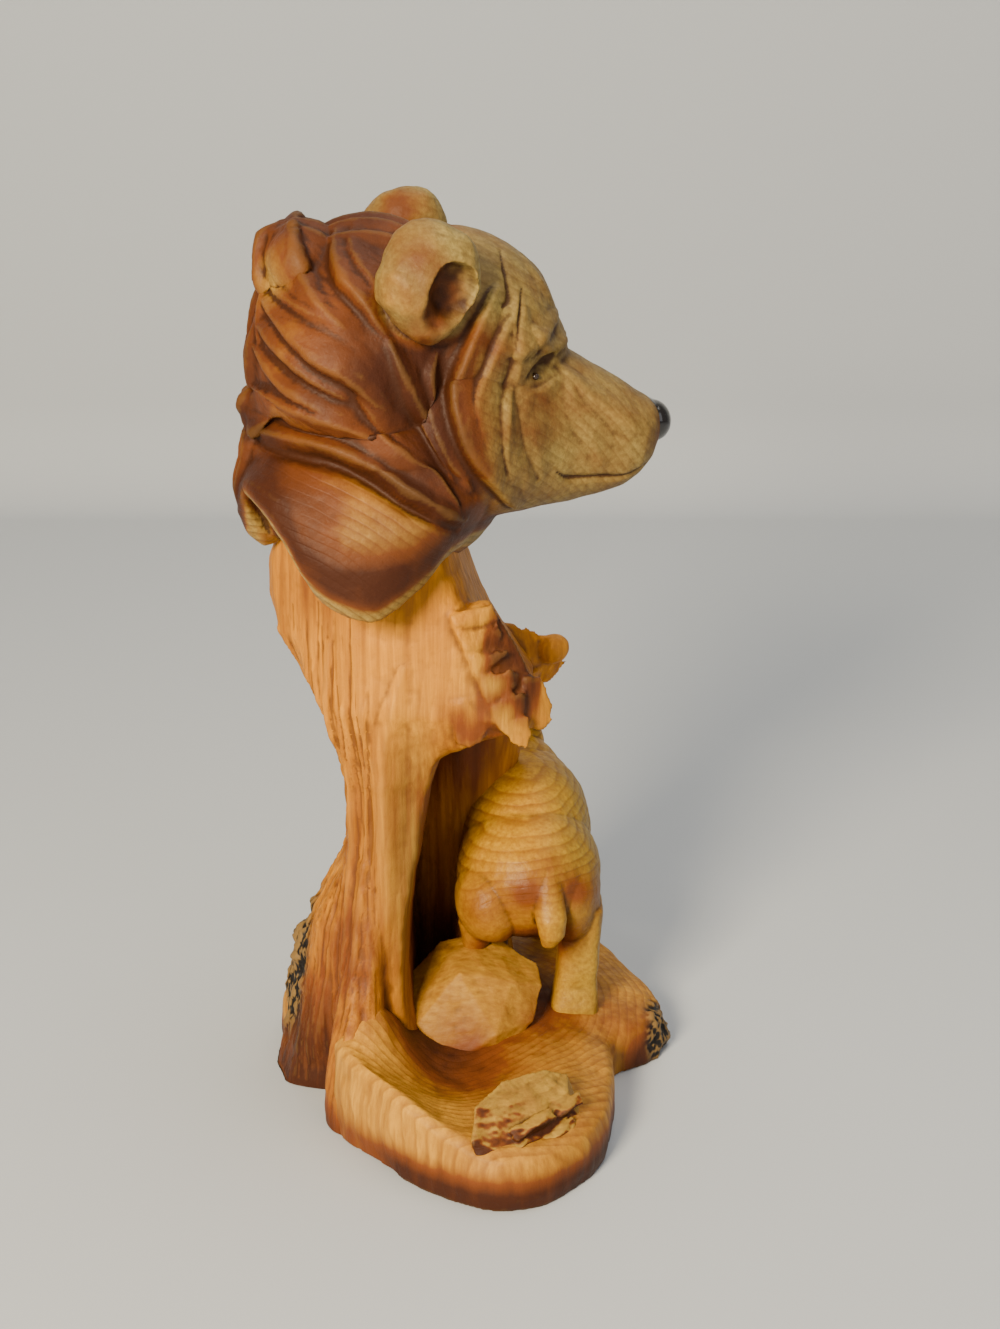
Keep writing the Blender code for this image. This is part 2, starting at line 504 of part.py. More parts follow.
def raise_strands(obj, strands):
    """Moves the skin out along its normals by the highest crest that passes each point.

    A strand is a line on the skin, its widths to the left and to the right of the way it runs, seen from
    outside, and its height. It tapers to its ends, and one of negative height is a groove.
    """
    points, normals = coordinates(obj.data), vertex_normals(obj.data)
    relief = np.zeros(len(points))
    groove = np.zeros(len(points))
    for line, left, right, height in strands:
        reach = max(left, right)
        low, high = line.min(axis=0) - reach, line.max(axis=0) + reach
        near = np.flatnonzero(np.all((points > low) & (points < high), axis=1))
        if not len(near):
            continue
        local, outward = points[near], normals[near]
        share = np.linspace(0, 1, len(line))
        taper = np.sin(np.pi * (0.08 + 0.84 * share)) ** 0.7
        best = np.zeros(len(near))
        for i in range(len(line) - 1):
            along = line[i + 1] - line[i]
            t = np.clip((local - line[i]) @ along / max(along @ along, 1e-12), 0, 1)
            gap = local - line[i] - t[:, None] * along
            width = np.where((np.cross(outward, along) * gap).sum(axis=1) > 0, left, right)
            size = taper[i] + t * (taper[i + 1] - taper[i])
            slope = np.clip(1 - np.linalg.norm(gap, axis=1) / (width * size), 0, 1)
            best = np.maximum(best, size * slope)
        if height > 0:
            relief[near] = np.maximum(relief[near], height * best)
        else:
            groove[near] = np.minimum(groove[near], height * best)
    points += normals * ((relief + groove) * off_ears(points))[:, None]
    obj.data.vertices.foreach_set("co", points.ravel())
    obj.data.update()


def off_ears(points):
    """One on the coat and nought on the ears, which stay smooth."""
    back = np.array(head_frame().inverted())
    local = points @ back[:3, :3].T + back[:3, 3]
    local[:, 1] = np.abs(local[:, 1])
    away = np.linalg.norm((local - EAR_CENTRE) / EAR_RADII, axis=1)
    return np.clip((away - 1.02) / 0.15, 0, 1)


def skin_line(tree, path, axis, height=0.12):
    """A smooth path laid on the skin by looking along an axis from outside."""
    axis = Vector(axis)
    line = []
    for point in spline(path):
        hit = tree.ray_cast(Vector(point) - axis * height, axis)[0]
        if hit is not None:
            line.append(tuple(hit))
    return np.array(line)


def coat_strands(tree):
    """The locks of the near side, laid on the skin, and the same mirrored on the far side."""
    frame, head = bust_frame(), head_frame()
    strands = []

    def lay(path, place_in, side, widths, height):
        line = skin_line(tree, [place_in @ Vector((x, 0, z)) for x, z in path], (0, -side, 0))
        if len(line) > 2:
            strands.append((line, widths[0] * BUST_PART, widths[1] * BUST_PART, height))

    for side in (-1, 1):
        for left, right, height, path in COAT_LOCKS:
            widths = (left, right) if side < 0 else (right, left)
            lay(path, frame, side, widths, LOCK_DEPTH * height / 2.6)
        for half, depth, path in COAT_GROOVES:
            lay(path, frame, side, (half, half), -LOCK_DEPTH * depth / 2.6)
        lay(MOUTH_LINE, head, side, (1.7, 1.7), -LOCK_DEPTH * 0.45)
        lay(EYE_SOCKET, head, side, (3.6, 3.6), -LOCK_DEPTH * 0.7)
    return strands


def nape_strands(tree):
    """Locks down the back of the head and neck, and over the crown between the ears."""
    frame = bust_frame()
    middle = frame @ Vector((-2, 0, 0))
    strands = []
    for i in range(NAPE_LOCKS):
        bearing = math.radians(160 + 40 * i / (NAPE_LOCKS - 1))
        mirrored = 1 if i < NAPE_LOCKS / 2 else -1
        for low, high, swing in ((56, 82, 0.30), (36, 62, -0.26), (22, 42, 0.20)):
            line = []
            for t in np.linspace(0, 1, 12):
                at = bearing - mirrored * swing * (t - 0.5) + 0.05 * (high - 60) / 20
                out = Vector((math.cos(at), math.sin(at), 0))
                height = TRUNK_HEIGHT + (high + (low - high) * t + 3 * (i % 2)) * BUST_PART
                hit = tree.ray_cast(Vector((middle.x, 0, height)) + out * 0.09, -out)[0]
                if hit is not None:
                    line.append(tuple(hit))
            if len(line) > 2:
                left, right = (6.0, 2.6) if mirrored > 0 else (2.6, 6.0)
                strands.append((np.array(line), left * BUST_PART, right * BUST_PART, LOCK_DEPTH))
    for i in range(-2, 3):
        path = [frame @ Vector((14, 6.5 * i, 0)), frame @ Vector((0, 7 * i + 1.5, 0)),
                frame @ Vector((-20, 6 * i, 0))]
        strands.append((skin_line(tree, path, (0, 0, -1), 0.3), 3.6 * BUST_PART, 3.6 * BUST_PART,
                        LOCK_DEPTH * 0.5))
    return strands


def trunk_strands(tree):
    """Ridges of grain down the trunk's outside that spread over its roots, up to the smooth hewn strip."""
    strands = []
    for i in range(GRAIN_RIDGES):
        bearing = math.radians(100 + 148 * i / (GRAIN_RIDGES - 1))
        top = TRUNK_HEIGHT * (0.93 - 0.12 * (i % 3))
        line = []
        for height in np.linspace(top, PLINTH_THICKNESS * 0.6, 16):
            swing = bearing + 0.05 * math.sin(9 * height / TRUNK_HEIGHT + i)
            out = Vector((math.cos(swing), math.sin(swing), 0))
            hit = tree.ray_cast(Vector((*TRUNK_AXIS, height)) + out * 0.09, -out)[0]
            if hit is not None:
                line.append(tuple(hit))
        width = GRAIN_DEPTH * (2.3 + 0.5 * (i % 2))
        strands.append((np.array(line), width, width, GRAIN_DEPTH))
    edge = [Vector(place_on_trunk(point)) for point in HEWN_EDGE]
    strands.append((skin_line(tree, edge, (0, 1, 0)), GRAIN_DEPTH * 4.5, GRAIN_DEPTH * 3, GRAIN_DEPTH))
    return strands


def place_on_trunk(point):
    x, z = point
    return x / 63 * TRUNK_DEPTH, 0, z / 124 * TRUNK_HEIGHT


def facet(obj):
    """Brings the skin down to plain facets and cuts it flat where it stands on the table."""
    obj.data.calc_loop_triangles()
    decimate = obj.modifiers.new("facet", "DECIMATE")
    decimate.ratio = FACETS / len(obj.data.loop_triangles)
    decimate.use_collapse_triangulate = True
    apply_modifiers(obj)
    bm = bmesh.new()
    bm.from_mesh(obj.data)
    cut = bmesh.ops.bisect_plane(bm, geom=bm.verts[:] + bm.edges[:] + bm.faces[:], dist=1e-6,
                                 plane_co=(0, 0, 0), plane_no=(0, 0, -1), clear_outer=True)
    rim = [g for g in cut["geom_cut"] if isinstance(g, bmesh.types.BMEdge)]
    bmesh.ops.holes_fill(bm, edges=rim, sides=0)
    bmesh.ops.triangulate(bm, faces=bm.faces[:])
    bmesh.ops.recalc_face_normals(bm, faces=bm.faces[:])
    bm.to_mesh(obj.data)
    bm.free()


def resin():
    material = bpy.data.materials.new("carved_resin")
    material.use_nodes = True
    shader = material.node_tree.nodes["Principled BSDF"]
    shader.inputs["Base Color"].default_value = (0.56, 0.31, 0.12, 1)
    shader.inputs["Roughness"].default_value = 0.55
    shader.inputs["Metallic"].default_value = 0
    return material


def main():
    clear_scene()
    masses = bpy.data.collections.new("masses")
    bpy.context.scene.collection.children.link(masses)
    plinth(masses)
    trunk(masses)
    wall_and_root(masses)
    torn_edge(masses)
    bust(masses)
    cub(masses)
    boulder(masses)
    knot(masses)
    statue = fuse("statue", list(masses.objects))
    skin = BVHTree.FromObject(statue, bpy.context.evaluated_depsgraph_get())
    raise_strands(statue, coat_strands(skin) + nape_strands(skin) + trunk_strands(skin))
    facet(statue)
    statue.data.materials.append(resin())


if __name__ == "__main__":
    main()
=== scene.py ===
# Looks of the mother bear and cub statue: a resin casting carved and stained like cedar.
# +X is the way the mother faces, and the photograph looks along +Y.
import math
import random
from functools import partial

import bmesh
import bpy
import numpy as np
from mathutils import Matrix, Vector, noise
from mathutils.bvhtree import BVHTree


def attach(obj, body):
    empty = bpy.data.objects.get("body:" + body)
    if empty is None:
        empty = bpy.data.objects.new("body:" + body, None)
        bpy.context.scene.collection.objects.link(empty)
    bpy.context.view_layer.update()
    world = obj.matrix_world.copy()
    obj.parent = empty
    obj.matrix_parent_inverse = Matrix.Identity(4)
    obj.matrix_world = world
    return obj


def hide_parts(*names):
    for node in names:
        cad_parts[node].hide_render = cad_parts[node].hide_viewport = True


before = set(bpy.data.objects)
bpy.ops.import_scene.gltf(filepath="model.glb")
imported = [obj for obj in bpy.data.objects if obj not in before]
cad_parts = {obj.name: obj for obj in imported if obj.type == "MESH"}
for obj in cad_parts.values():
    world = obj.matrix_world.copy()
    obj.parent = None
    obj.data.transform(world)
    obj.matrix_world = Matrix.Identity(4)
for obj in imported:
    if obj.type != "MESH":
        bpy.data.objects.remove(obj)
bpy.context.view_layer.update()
mm = 0.001

# What a user would change is in one dictionary for each piece, with places and sizes in millimetres and turns
# in degrees. Cells, relief, thickness and the places in "at" are metres, and so are the sizes in this one.
statue = {"trunkHeight": 0.124, "trunkAxis": (-0.016, 0.002), "bustHeight": 0.090, "seatX": -0.018,
          "headTurn": 8, "headTilt": 2.5, "slot": "carved_resin"}


# Places and simple forms

def place(x, y, z, part=mm):
    # Scales by a part, then shifts to (x, y, z).
    made = np.eye(4)
    made[:3, :3] *= part
    made[:3, 3] = x, y, z
    return made


def turned(axis, degrees):
    # Right-hand turn about a row axis.
    a = math.radians(degrees)
    made = np.eye(4)
    i, j = {"X": (1, 2), "Y": (2, 0), "Z": (0, 1)}[axis]
    made[i, i] = made[j, j] = math.cos(a)
    made[j, i] = math.sin(a)
    made[i, j] = -math.sin(a)
    return made


def tilted(tilt):
    return turned("Z", tilt[2]) @ turned("Y", tilt[1]) @ turned("X", tilt[0])


def moved(points, by):
    return np.asarray(points, float) @ by[:3, :3].T + by[:3, 3]


def loft(rings):
    # A closed skin through rings of equally many points, bottom ring first.
    rings = np.asarray(rings, float)
    count, sides = rings.shape[:2]
    i, j = np.meshgrid(np.arange(count - 1), np.arange(sides), indexing="ij")
    k = (j + 1) % sides
    low, high = i * sides, (i + 1) * sides
    quads = np.stack([low + j, low + k, high + k, high + j], -1).reshape(-1, 4)
    faces = quads.tolist() + [list(range(sides))[::-1], list(range((count - 1) * sides, count * sides))]
    return rings.reshape(-1, 3), faces


def ball(centre, radii, by, tilt=(0, 0, 0)):
    # Sphere of latitude u and longitude v, stretched to three radii: r (cos u cos v, cos u sin v, sin u).
    u = np.radians(np.linspace(-88, 88, 23))[:, None]
    v = np.radians(np.arange(0, 360, 10))[None, :]
    unit = np.stack([np.cos(u) * np.cos(v), np.cos(u) * np.sin(v), np.sin(u) + 0 * v], -1)
    return loft(moved(unit * radii, by @ place(*centre, 1) @ tilted(tilt)))


def rock(corners, by):
    # A cut block: the hull of its corners.
    bm = bmesh.new()
    for corner in moved(corners, by):
        bm.verts.new(corner)
    bmesh.ops.convex_hull(bm, input=bm.verts)
    bmesh.ops.delete(bm, geom=[v for v in bm.verts if not v.link_faces], context="VERTS")
    bm.verts.index_update()
    points = np.array([v.co[:] for v in bm.verts])
    faces = [[v.index for v in f.verts] for f in bm.faces]
    bm.free()
    return points, faces


def wholeTurn(count):
    return np.linspace(0, 2 * math.pi, count, endpoint=False)


def signedPower(value, power):
    return np.sign(value) * np.abs(value) ** power


def roundedReach(t, reachX, reachY, power):
    # Distance r at each bearing t to the squared-off oval |r cos t / reachX|^p + |r sin t / reachY|^p = 1.
    return (np.abs(np.cos(t) / reachX) ** power + np.abs(np.sin(t) / reachY) ** power) ** (-1 / power)


def within(points, frameOf):
    return moved(points, np.linalg.inv(frameOf))


def bell(points, centre, reach):
    # exp(-d^2), with d the distance from a centre over the reach, both in millimetres.
    return np.exp(-(((points / mm - centre) / reach) ** 2).sum(axis=1))


def limb(stations, by, sides=24, squareness=1):
    # Level rings x + w cos t, y + d sin t at stations (x, y, z, w, d), with cosine and sine raised to the
    # squareness, which squares the ring off below 1.
    t = wholeTurn(sides)
    a, b = signedPower(np.cos(t), squareness), signedPower(np.sin(t), squareness)
    rings = [np.column_stack([x + w * a, y + d * b, np.full(sides, z)])
             for x, y, z, w, d in sorted(stations, key=lambda s: s[2])]
    return loft(moved(rings, by))


def curved(p0, p1, p2, p3, t):
    # Catmull-Rom curve from p1 to p2: it leaves p1 along p2 - p0 and reaches p2 along p3 - p1.
    return p1 + 0.5 * t * (p2 - p0 + t * (2 * p0 - 5 * p1 + 4 * p2 - p3 + t * (3 * (p1 - p2) + p3 - p0)))


def around(pairs, bearings):
    # Values given at a few bearings in degrees, carried smoothly round the whole turn.
    given = np.array(sorted(pairs), float)
    wrapped = np.vstack([given - (360, 0), given, given + (360, 0)])
    at = np.degrees(bearings) % 360
    left = np.searchsorted(wrapped[:, 0], at, side="right") - 1
    t = (at - wrapped[left, 0]) / (wrapped[left + 1, 0] - wrapped[left, 0])
    return curved(*(wrapped[left + k, 1] for k in (-1, 0, 1, 2)), t)


def spline(points, steps=6):
    # A smooth line through a few points.
    points = np.asarray(points, float)
    padded = np.vstack([2 * points[0] - points[1], points, 2 * points[-1] - points[-2]])
    t = np.linspace(0, 1, steps, endpoint=False)[:, None]
    line = [curved(*four, t) for four in zip(padded, padded[1:], padded[2:], padded[3:])]
    return np.vstack([*line, points[-1:]])


def smoothStep(value, low, high):
    # t^2 (3 - 2t), with t going from 0 at low to 1 at high.
    t = np.clip((value - low) / (high - low), 0, 1)
    return t * t * (3 - 2 * t)


# From masses to a carved skin

def added(name, data):
    made = bpy.data.objects.new(name, data)
    bpy.context.scene.collection.objects.link(made)
    return made


def meshObject(name, parts):
    points, faces, start = [], [], 0
    for part, partFaces in parts:
        points.append(part)
        faces += [[i + start for i in face] for face in partFaces]
        start += len(part)
    mesh = bpy.data.meshes.new(name)
    mesh.from_pydata(np.vstack(points).tolist(), [], faces)
    return added(name, mesh)


def applied(made):
    # Keeps what the modifiers make as the object's own mesh.
    graph = bpy.context.evaluated_depsgraph_get()
    mesh = bpy.data.meshes.new_from_object(made.evaluated_get(graph))
    made.modifiers.clear()
    made.data = mesh
    return made


def remeshed(made, cell):
    remesh = made.modifiers.new("cast", "REMESH")
    remesh.mode, remesh.voxel_size = "VOXEL", cell
    return made


def edgeEnds(mesh):
    ends = np.empty(len(mesh.edges) * 2, np.int32)
    mesh.edges.foreach_get("vertices", ends)
    return ends.reshape(-1, 2)


def dropInner(mesh):
    # Labels the shells by spreading the lowest index along the edges, and keeps the biggest.
    ends = edgeEnds(mesh)
    label = np.arange(len(mesh.vertices))
    while True:
        before = label.copy()
        low = np.minimum(label[ends[:, 0]], label[ends[:, 1]])
        np.minimum.at(label, ends[:, 0], low)
        np.minimum.at(label, ends[:, 1], low)
        label = label[label]
        if (label == before).all():
            break
    names, counts = np.unique(label, return_counts=True)
    if len(names) == 1:
        return
    keep = names[counts.argmax()]
    bm = bmesh.new()
    bm.from_mesh(mesh)
    bm.verts.ensure_lookup_table()
    bmesh.ops.delete(bm, geom=[bm.verts[int(i)] for i in np.flatnonzero(label != keep)], context="VERTS")
    bm.to_mesh(mesh)
    bm.free()


def fused(name, masses, settings):
    # One skin around all the masses, relaxed a little, with no shell left inside.
    made = remeshed(meshObject(name, masses), settings["cell"])
    relax = made.modifiers.new("relax", "SMOOTH")
    relax.factor, relax.iterations = 0.5, settings["relax"]
    applied(made)
    dropInner(made.data)
    return made


def pointsOf(mesh):
    points = np.empty(len(mesh.vertices) * 3)
    mesh.vertices.foreach_get("co", points)
    return points.reshape(-1, 3)


def normalsOf(mesh):
    normals = np.empty(len(mesh.vertices) * 3)
    mesh.vertices.foreach_get("normal", normals)
    return normals.reshape(-1, 3)


def setPoints(mesh, points):
    mesh.vertices.foreach_set("co", points.ravel())
    mesh.update()


def skinTree(made):
    return BVHTree.FromObject(made, bpy.context.evaluated_depsgraph_get())


def carve(made, strands, keep=None):
    # A strand is (line, left width, right width, height), seen from outside along its run. Its profile is
    # 1 - q, with q the distance over the width, it tapers to both ends, and the highest strand counts. A
    # negative height cuts a groove. keep gives the share of the move that each point takes.
    points, normals = pointsOf(made.data), normalsOf(made.data)
    ridge, groove = np.zeros(len(points)), np.zeros(len(points))
    order = np.argsort(points[:, 2])
    heights = points[order, 2]
    for line, left, right, height in strands:
        if len(line) < 3:
            continue
        reach = max(left, right)
        low, high = line.min(axis=0) - reach, line.max(axis=0) + reach
        band = order[np.searchsorted(heights, low[2]):np.searchsorted(heights, high[2])]
        near = band[np.all((points[band, :2] > low[:2]) & (points[band, :2] < high[:2]), axis=1)]
        if not len(near):
            continue
        local, outward = points[near], normals[near]
        taper = np.sin(np.pi * (0.08 + 0.84 * np.linspace(0, 1, len(line)))) ** 0.7
        best = np.zeros(len(near))
        for i in range(len(line) - 1):
            along = line[i + 1] - line[i]
            t = np.clip((local - line[i]) @ along / max(along @ along, 1e-12), 0, 1)
            gap = local - line[i] - t[:, None] * along
            onLeft = (np.cross(outward, along) * gap).sum(axis=1) > 0
            size = taper[i] + t * (taper[i + 1] - taper[i])
            slope = np.clip(1 - np.linalg.norm(gap, axis=1) / (np.where(onLeft, left, right) * size), 0, 1)
            best = np.maximum(best, size * slope)
        if height > 0:
            ridge[near] = np.maximum(ridge[near], height * best)
        else:
            groove[near] = np.minimum(groove[near], height * best)
    share = 1 if keep is None else keep(points)
    setPoints(made.data, points + normals * ((ridge + groove) * share)[:, None])


def skinLine(tree, path, axis, away=0.12):
    # A smooth path laid on the skin by looking along an axis from outside.
    axis = Vector(axis)
    hits = [tree.ray_cast(Vector(p) - axis * away, axis)[0] for p in spline(path)]
    return np.array([tuple(hit) for hit in hits if hit is not None])


def inwardLine(tree, centre, bearings, heights):
    # A line on the skin met by level rays towards a centre.
    line = []
    for bearing, height in zip(bearings, heights):
        out = Vector((math.cos(bearing), math.sin(bearing), 0))
        hit = tree.ray_cast(Vector((centre[0], centre[1], height)) + out * 0.09, -out)[0]
        if hit is not None:
            line.append(tuple(hit))
    return np.array(line)


def flowStrands(made, guides, allowed, seedGap, length, step, half, height, reach, seed):
    # Fine strands that follow the guides. They take the mean of the guides' directions, weighted by
    # exp(-(d / reach)^2) with d in the side view, and laid into the skin's tangent plane.
    tree = skinTree(made)
    points = pointsOf(made.data)
    rng = random.Random(seed)
    at = np.vstack([(g[1:] + g[:-1]) / 2 for g in guides])[:, [0, 2]]
    way = np.vstack([g[1:] - g[:-1] for g in guides])
    way /= np.maximum(np.linalg.norm(way, axis=1), 1e-9)[:, None]
    order = list(np.flatnonzero(allowed(points)))
    rng.shuffle(order)
    taken, strands = set(), []
    for index in order:
        cell = tuple((points[index] / seedGap).astype(int))
        if cell in taken:
            continue
        taken.add(cell)
        spot, line = Vector(points[index]), []
        for _ in range(int(length / step * rng.uniform(0.6, 1.2))):
            hit, normal = tree.find_nearest(spot)[:2]
            line.append(tuple(hit))
            away = ((at - (hit.x, hit.z)) ** 2).sum(axis=1)
            weight = np.exp(-(away - away.min()) / reach ** 2)
            mean = Vector((weight[:, None] * way).sum(axis=0))
            mean.y = 0
            along = mean - normal * mean.dot(normal)
            if along.length < 1e-6:
                break
            spot = hit + along.normalized() * step
        if len(line) > 2:
            size = rng.uniform(0.7, 1.3)
            strands.append((np.array(line), half * size, half * size, height * rng.uniform(0.6, 1.2)))
    return strands


def roughen(made, cell, depth, weight=None):
    # Moves the skin by smooth noise of a cell size, with half as much at half the cell, and so on.
    points, normals = pointsOf(made.data), normalsOf(made.data)
    shift = np.zeros(len(points))
    weight = np.ones(len(points)) if weight is None else weight
    for i in np.flatnonzero(weight > 0.01):
        p = Vector(points[i]) / cell
        shift[i] = sum(noise.noise(p * 2 ** k + Vector((7 * k, 0, 0))) / 2 ** k for k in range(3))
    setPoints(made.data, points + normals * (shift * depth * weight)[:, None])


def averaged(mesh, rounds):
    # The points after each has moved halfway to the mean of its neighbours a number of times.
    points, ends = pointsOf(mesh), edgeEnds(mesh)
    degree = np.bincount(ends.ravel(), minlength=len(points)).astype(float)[:, None]
    for _ in range(rounds):
        total = np.stack([np.bincount(ends[:, 0], points[ends[:, 1], k], len(points))
                          + np.bincount(ends[:, 1], points[ends[:, 0], k], len(points)) for k in range(3)], 1)
        points = 0.5 * points + 0.5 * total / degree
    return points


def soften(made, rounds=1):
    setPoints(made.data, averaged(made.data, rounds))


def barkOn(made, settings):
    # 1 on the patch of bark and 0 off it, with its edge between two values of the bell.
    middle, reach, low, high = settings["bark"]
    return smoothStep(bell(pointsOf(made.data), middle, reach), low, high)


def weathered(made, settings):
    # Rough bark on its patch, smaller bumps all over, and nothing below the table.
    if "bark" in settings:
        roughen(made, *settings["barkRough"], barkOn(made, settings))
    roughen(made, *settings["rough"])
    points = pointsOf(made.data)
    points[:, 2] = np.maximum(points[:, 2], settings.get("lowest", 0))
    setPoints(made.data, points)
    return points


def hollows(mesh, rounds):
    # How deep each point lies below the mean of its surroundings, in metres: positive in grooves.
    return ((averaged(mesh, rounds) - pointsOf(mesh)) * normalsOf(mesh)).sum(axis=1)


# Stain, painted shade and materials

def airbrush(points, base, spots):
    # Stain and painted shade sprayed at spots (middle, radius, strength), each fading as a bell curve.
    sprayed = sum(strength * bell(points, centre, radius) for centre, radius, strength in spots)
    return np.clip(base + sprayed, 0, 1)


def fromPith(points, middle, along):
    # Distance in millimetres from a line: the length of (point - middle) x direction.
    along = np.array(along, float) / np.linalg.norm(along)
    return np.linalg.norm(np.cross(points / mm - middle, along), axis=1)


def paint(made, stainAndShade, pith, rings, pale, bark):
    # Stores what the material reads at each point: depth in the carving (half is level), stain with painted
    # shade in it, paleness and bark, then the distance from the pith and the strength of the growth rings.
    mesh = made.data
    fine, broad = hollows(mesh, 3) / 0.00026, hollows(mesh, 26) / 0.0017
    depth = np.clip(0.5 + fine + broad, 0, 1)
    values = np.empty((len(mesh.vertices), 4), np.float32)
    for k, value in enumerate((depth, stainAndShade, pale, bark)):
        values[:, k] = value
    mesh.attributes.new("carving", "FLOAT_COLOR", "POINT").data.foreach_set("color", values.ravel())
    grain = np.zeros((len(mesh.vertices), 3), np.float32)
    grain[:, 0], grain[:, 1] = pith, rings
    mesh.attributes.new("grain", "FLOAT_VECTOR", "POINT").data.foreach_set("vector", grain.ravel())


def mathNode(tree, operation, a, b=None, c=None, clamp=False):
    node = tree.nodes.new("ShaderNodeMath")
    node.operation, node.use_clamp = operation, clamp
    for socket, value in zip(node.inputs, (a, b, c)):
        if value is None:
            continue
        if isinstance(value, bpy.types.NodeSocket):
            tree.links.new(value, socket)
        else:
            socket.default_value = value
    return node.outputs[0]


def mixNode(tree, factor, a, b, blend="MIX"):
    node = tree.nodes.new("ShaderNodeMix")
    node.data_type, node.blend_type = "RGBA", blend
    for socket, value in ((node.inputs[0], factor), (node.inputs[6], a), (node.inputs[7], b)):
        if isinstance(value, bpy.types.NodeSocket):
            tree.links.new(value, socket)
        elif isinstance(value, tuple):
            socket.default_value = (*value, 1)
        else:
            socket.default_value = value
    return node.outputs[2]


def noiseNode(tree, vector, scale, detail=3, roughness=0.5):
    node = tree.nodes.new("ShaderNodeTexNoise")
    node.inputs["Scale"].default_value = scale
    node.inputs["Detail"].default_value = detail
    node.inputs["Roughness"].default_value = roughness
    tree.links.new(vector, node.inputs["Vector"])
    return node.outputs["Fac"]


def scaledNode(tree, vector, scale):
    node = tree.nodes.new("ShaderNodeMapping")
    node.inputs["Scale"].default_value = scale
    tree.links.new(vector, node.inputs["Vector"])
    return node.outputs[0]


def rampNode(tree, value, gain, offset):
    # value * gain + offset, kept between 0 and 1.
    return mathNode(tree, "MULTIPLY_ADD", value, gain, offset, clamp=True)


def attributeNode(tree, name):
    node = tree.nodes.new("ShaderNodeAttribute")
    node.attribute_name = name
    return node


def newMaterial(name):
    material = bpy.data.materials.new(name)
    material.use_nodes = True
    return material, material.node_tree, material.node_tree.nodes["Principled BSDF"].inputs


# The common look. Colours are linear: early and late wood, the same where it is pale, two depths of stain
# and painted shade, grooves darkened by a stain wash and painted shade, crests lightened by rubbing and a
# painted highlight, and bark. Distances are millimetres and forces run from 0 to 1.
wood = {
    "light": (0.68, 0.355, 0.032), "line": (0.33, 0.115, 0.010), "pale": (0.45, 0.325, 0.062),
    "paleLine": (0.17, 0.095, 0.014), "stainAndShade": (0.20, 0.058, 0.010), "deep": (0.045, 0.011, 0.003),
    "groove": (0.035, 0.009, 0.002), "crest": (0.66, 0.40, 0.080),
    "crustLow": (0.010, 0.008, 0.007), "crustHigh": (0.20, 0.115, 0.035),
    "bend": 7, "bendScale": 0.045, "ringForce": 0.75, "fibre": (0.9, 0.9, 0.9),
    "streak": (0.11, 0.11, 0.11), "patch": 0.55, "grooveForce": 0.9, "crestForce": 0.06, "dustForce": 0.35,
    "roughness": 0.42, "specular": 0.2, "bumpForce": 0.5, "bumpHeight": 0.0003}


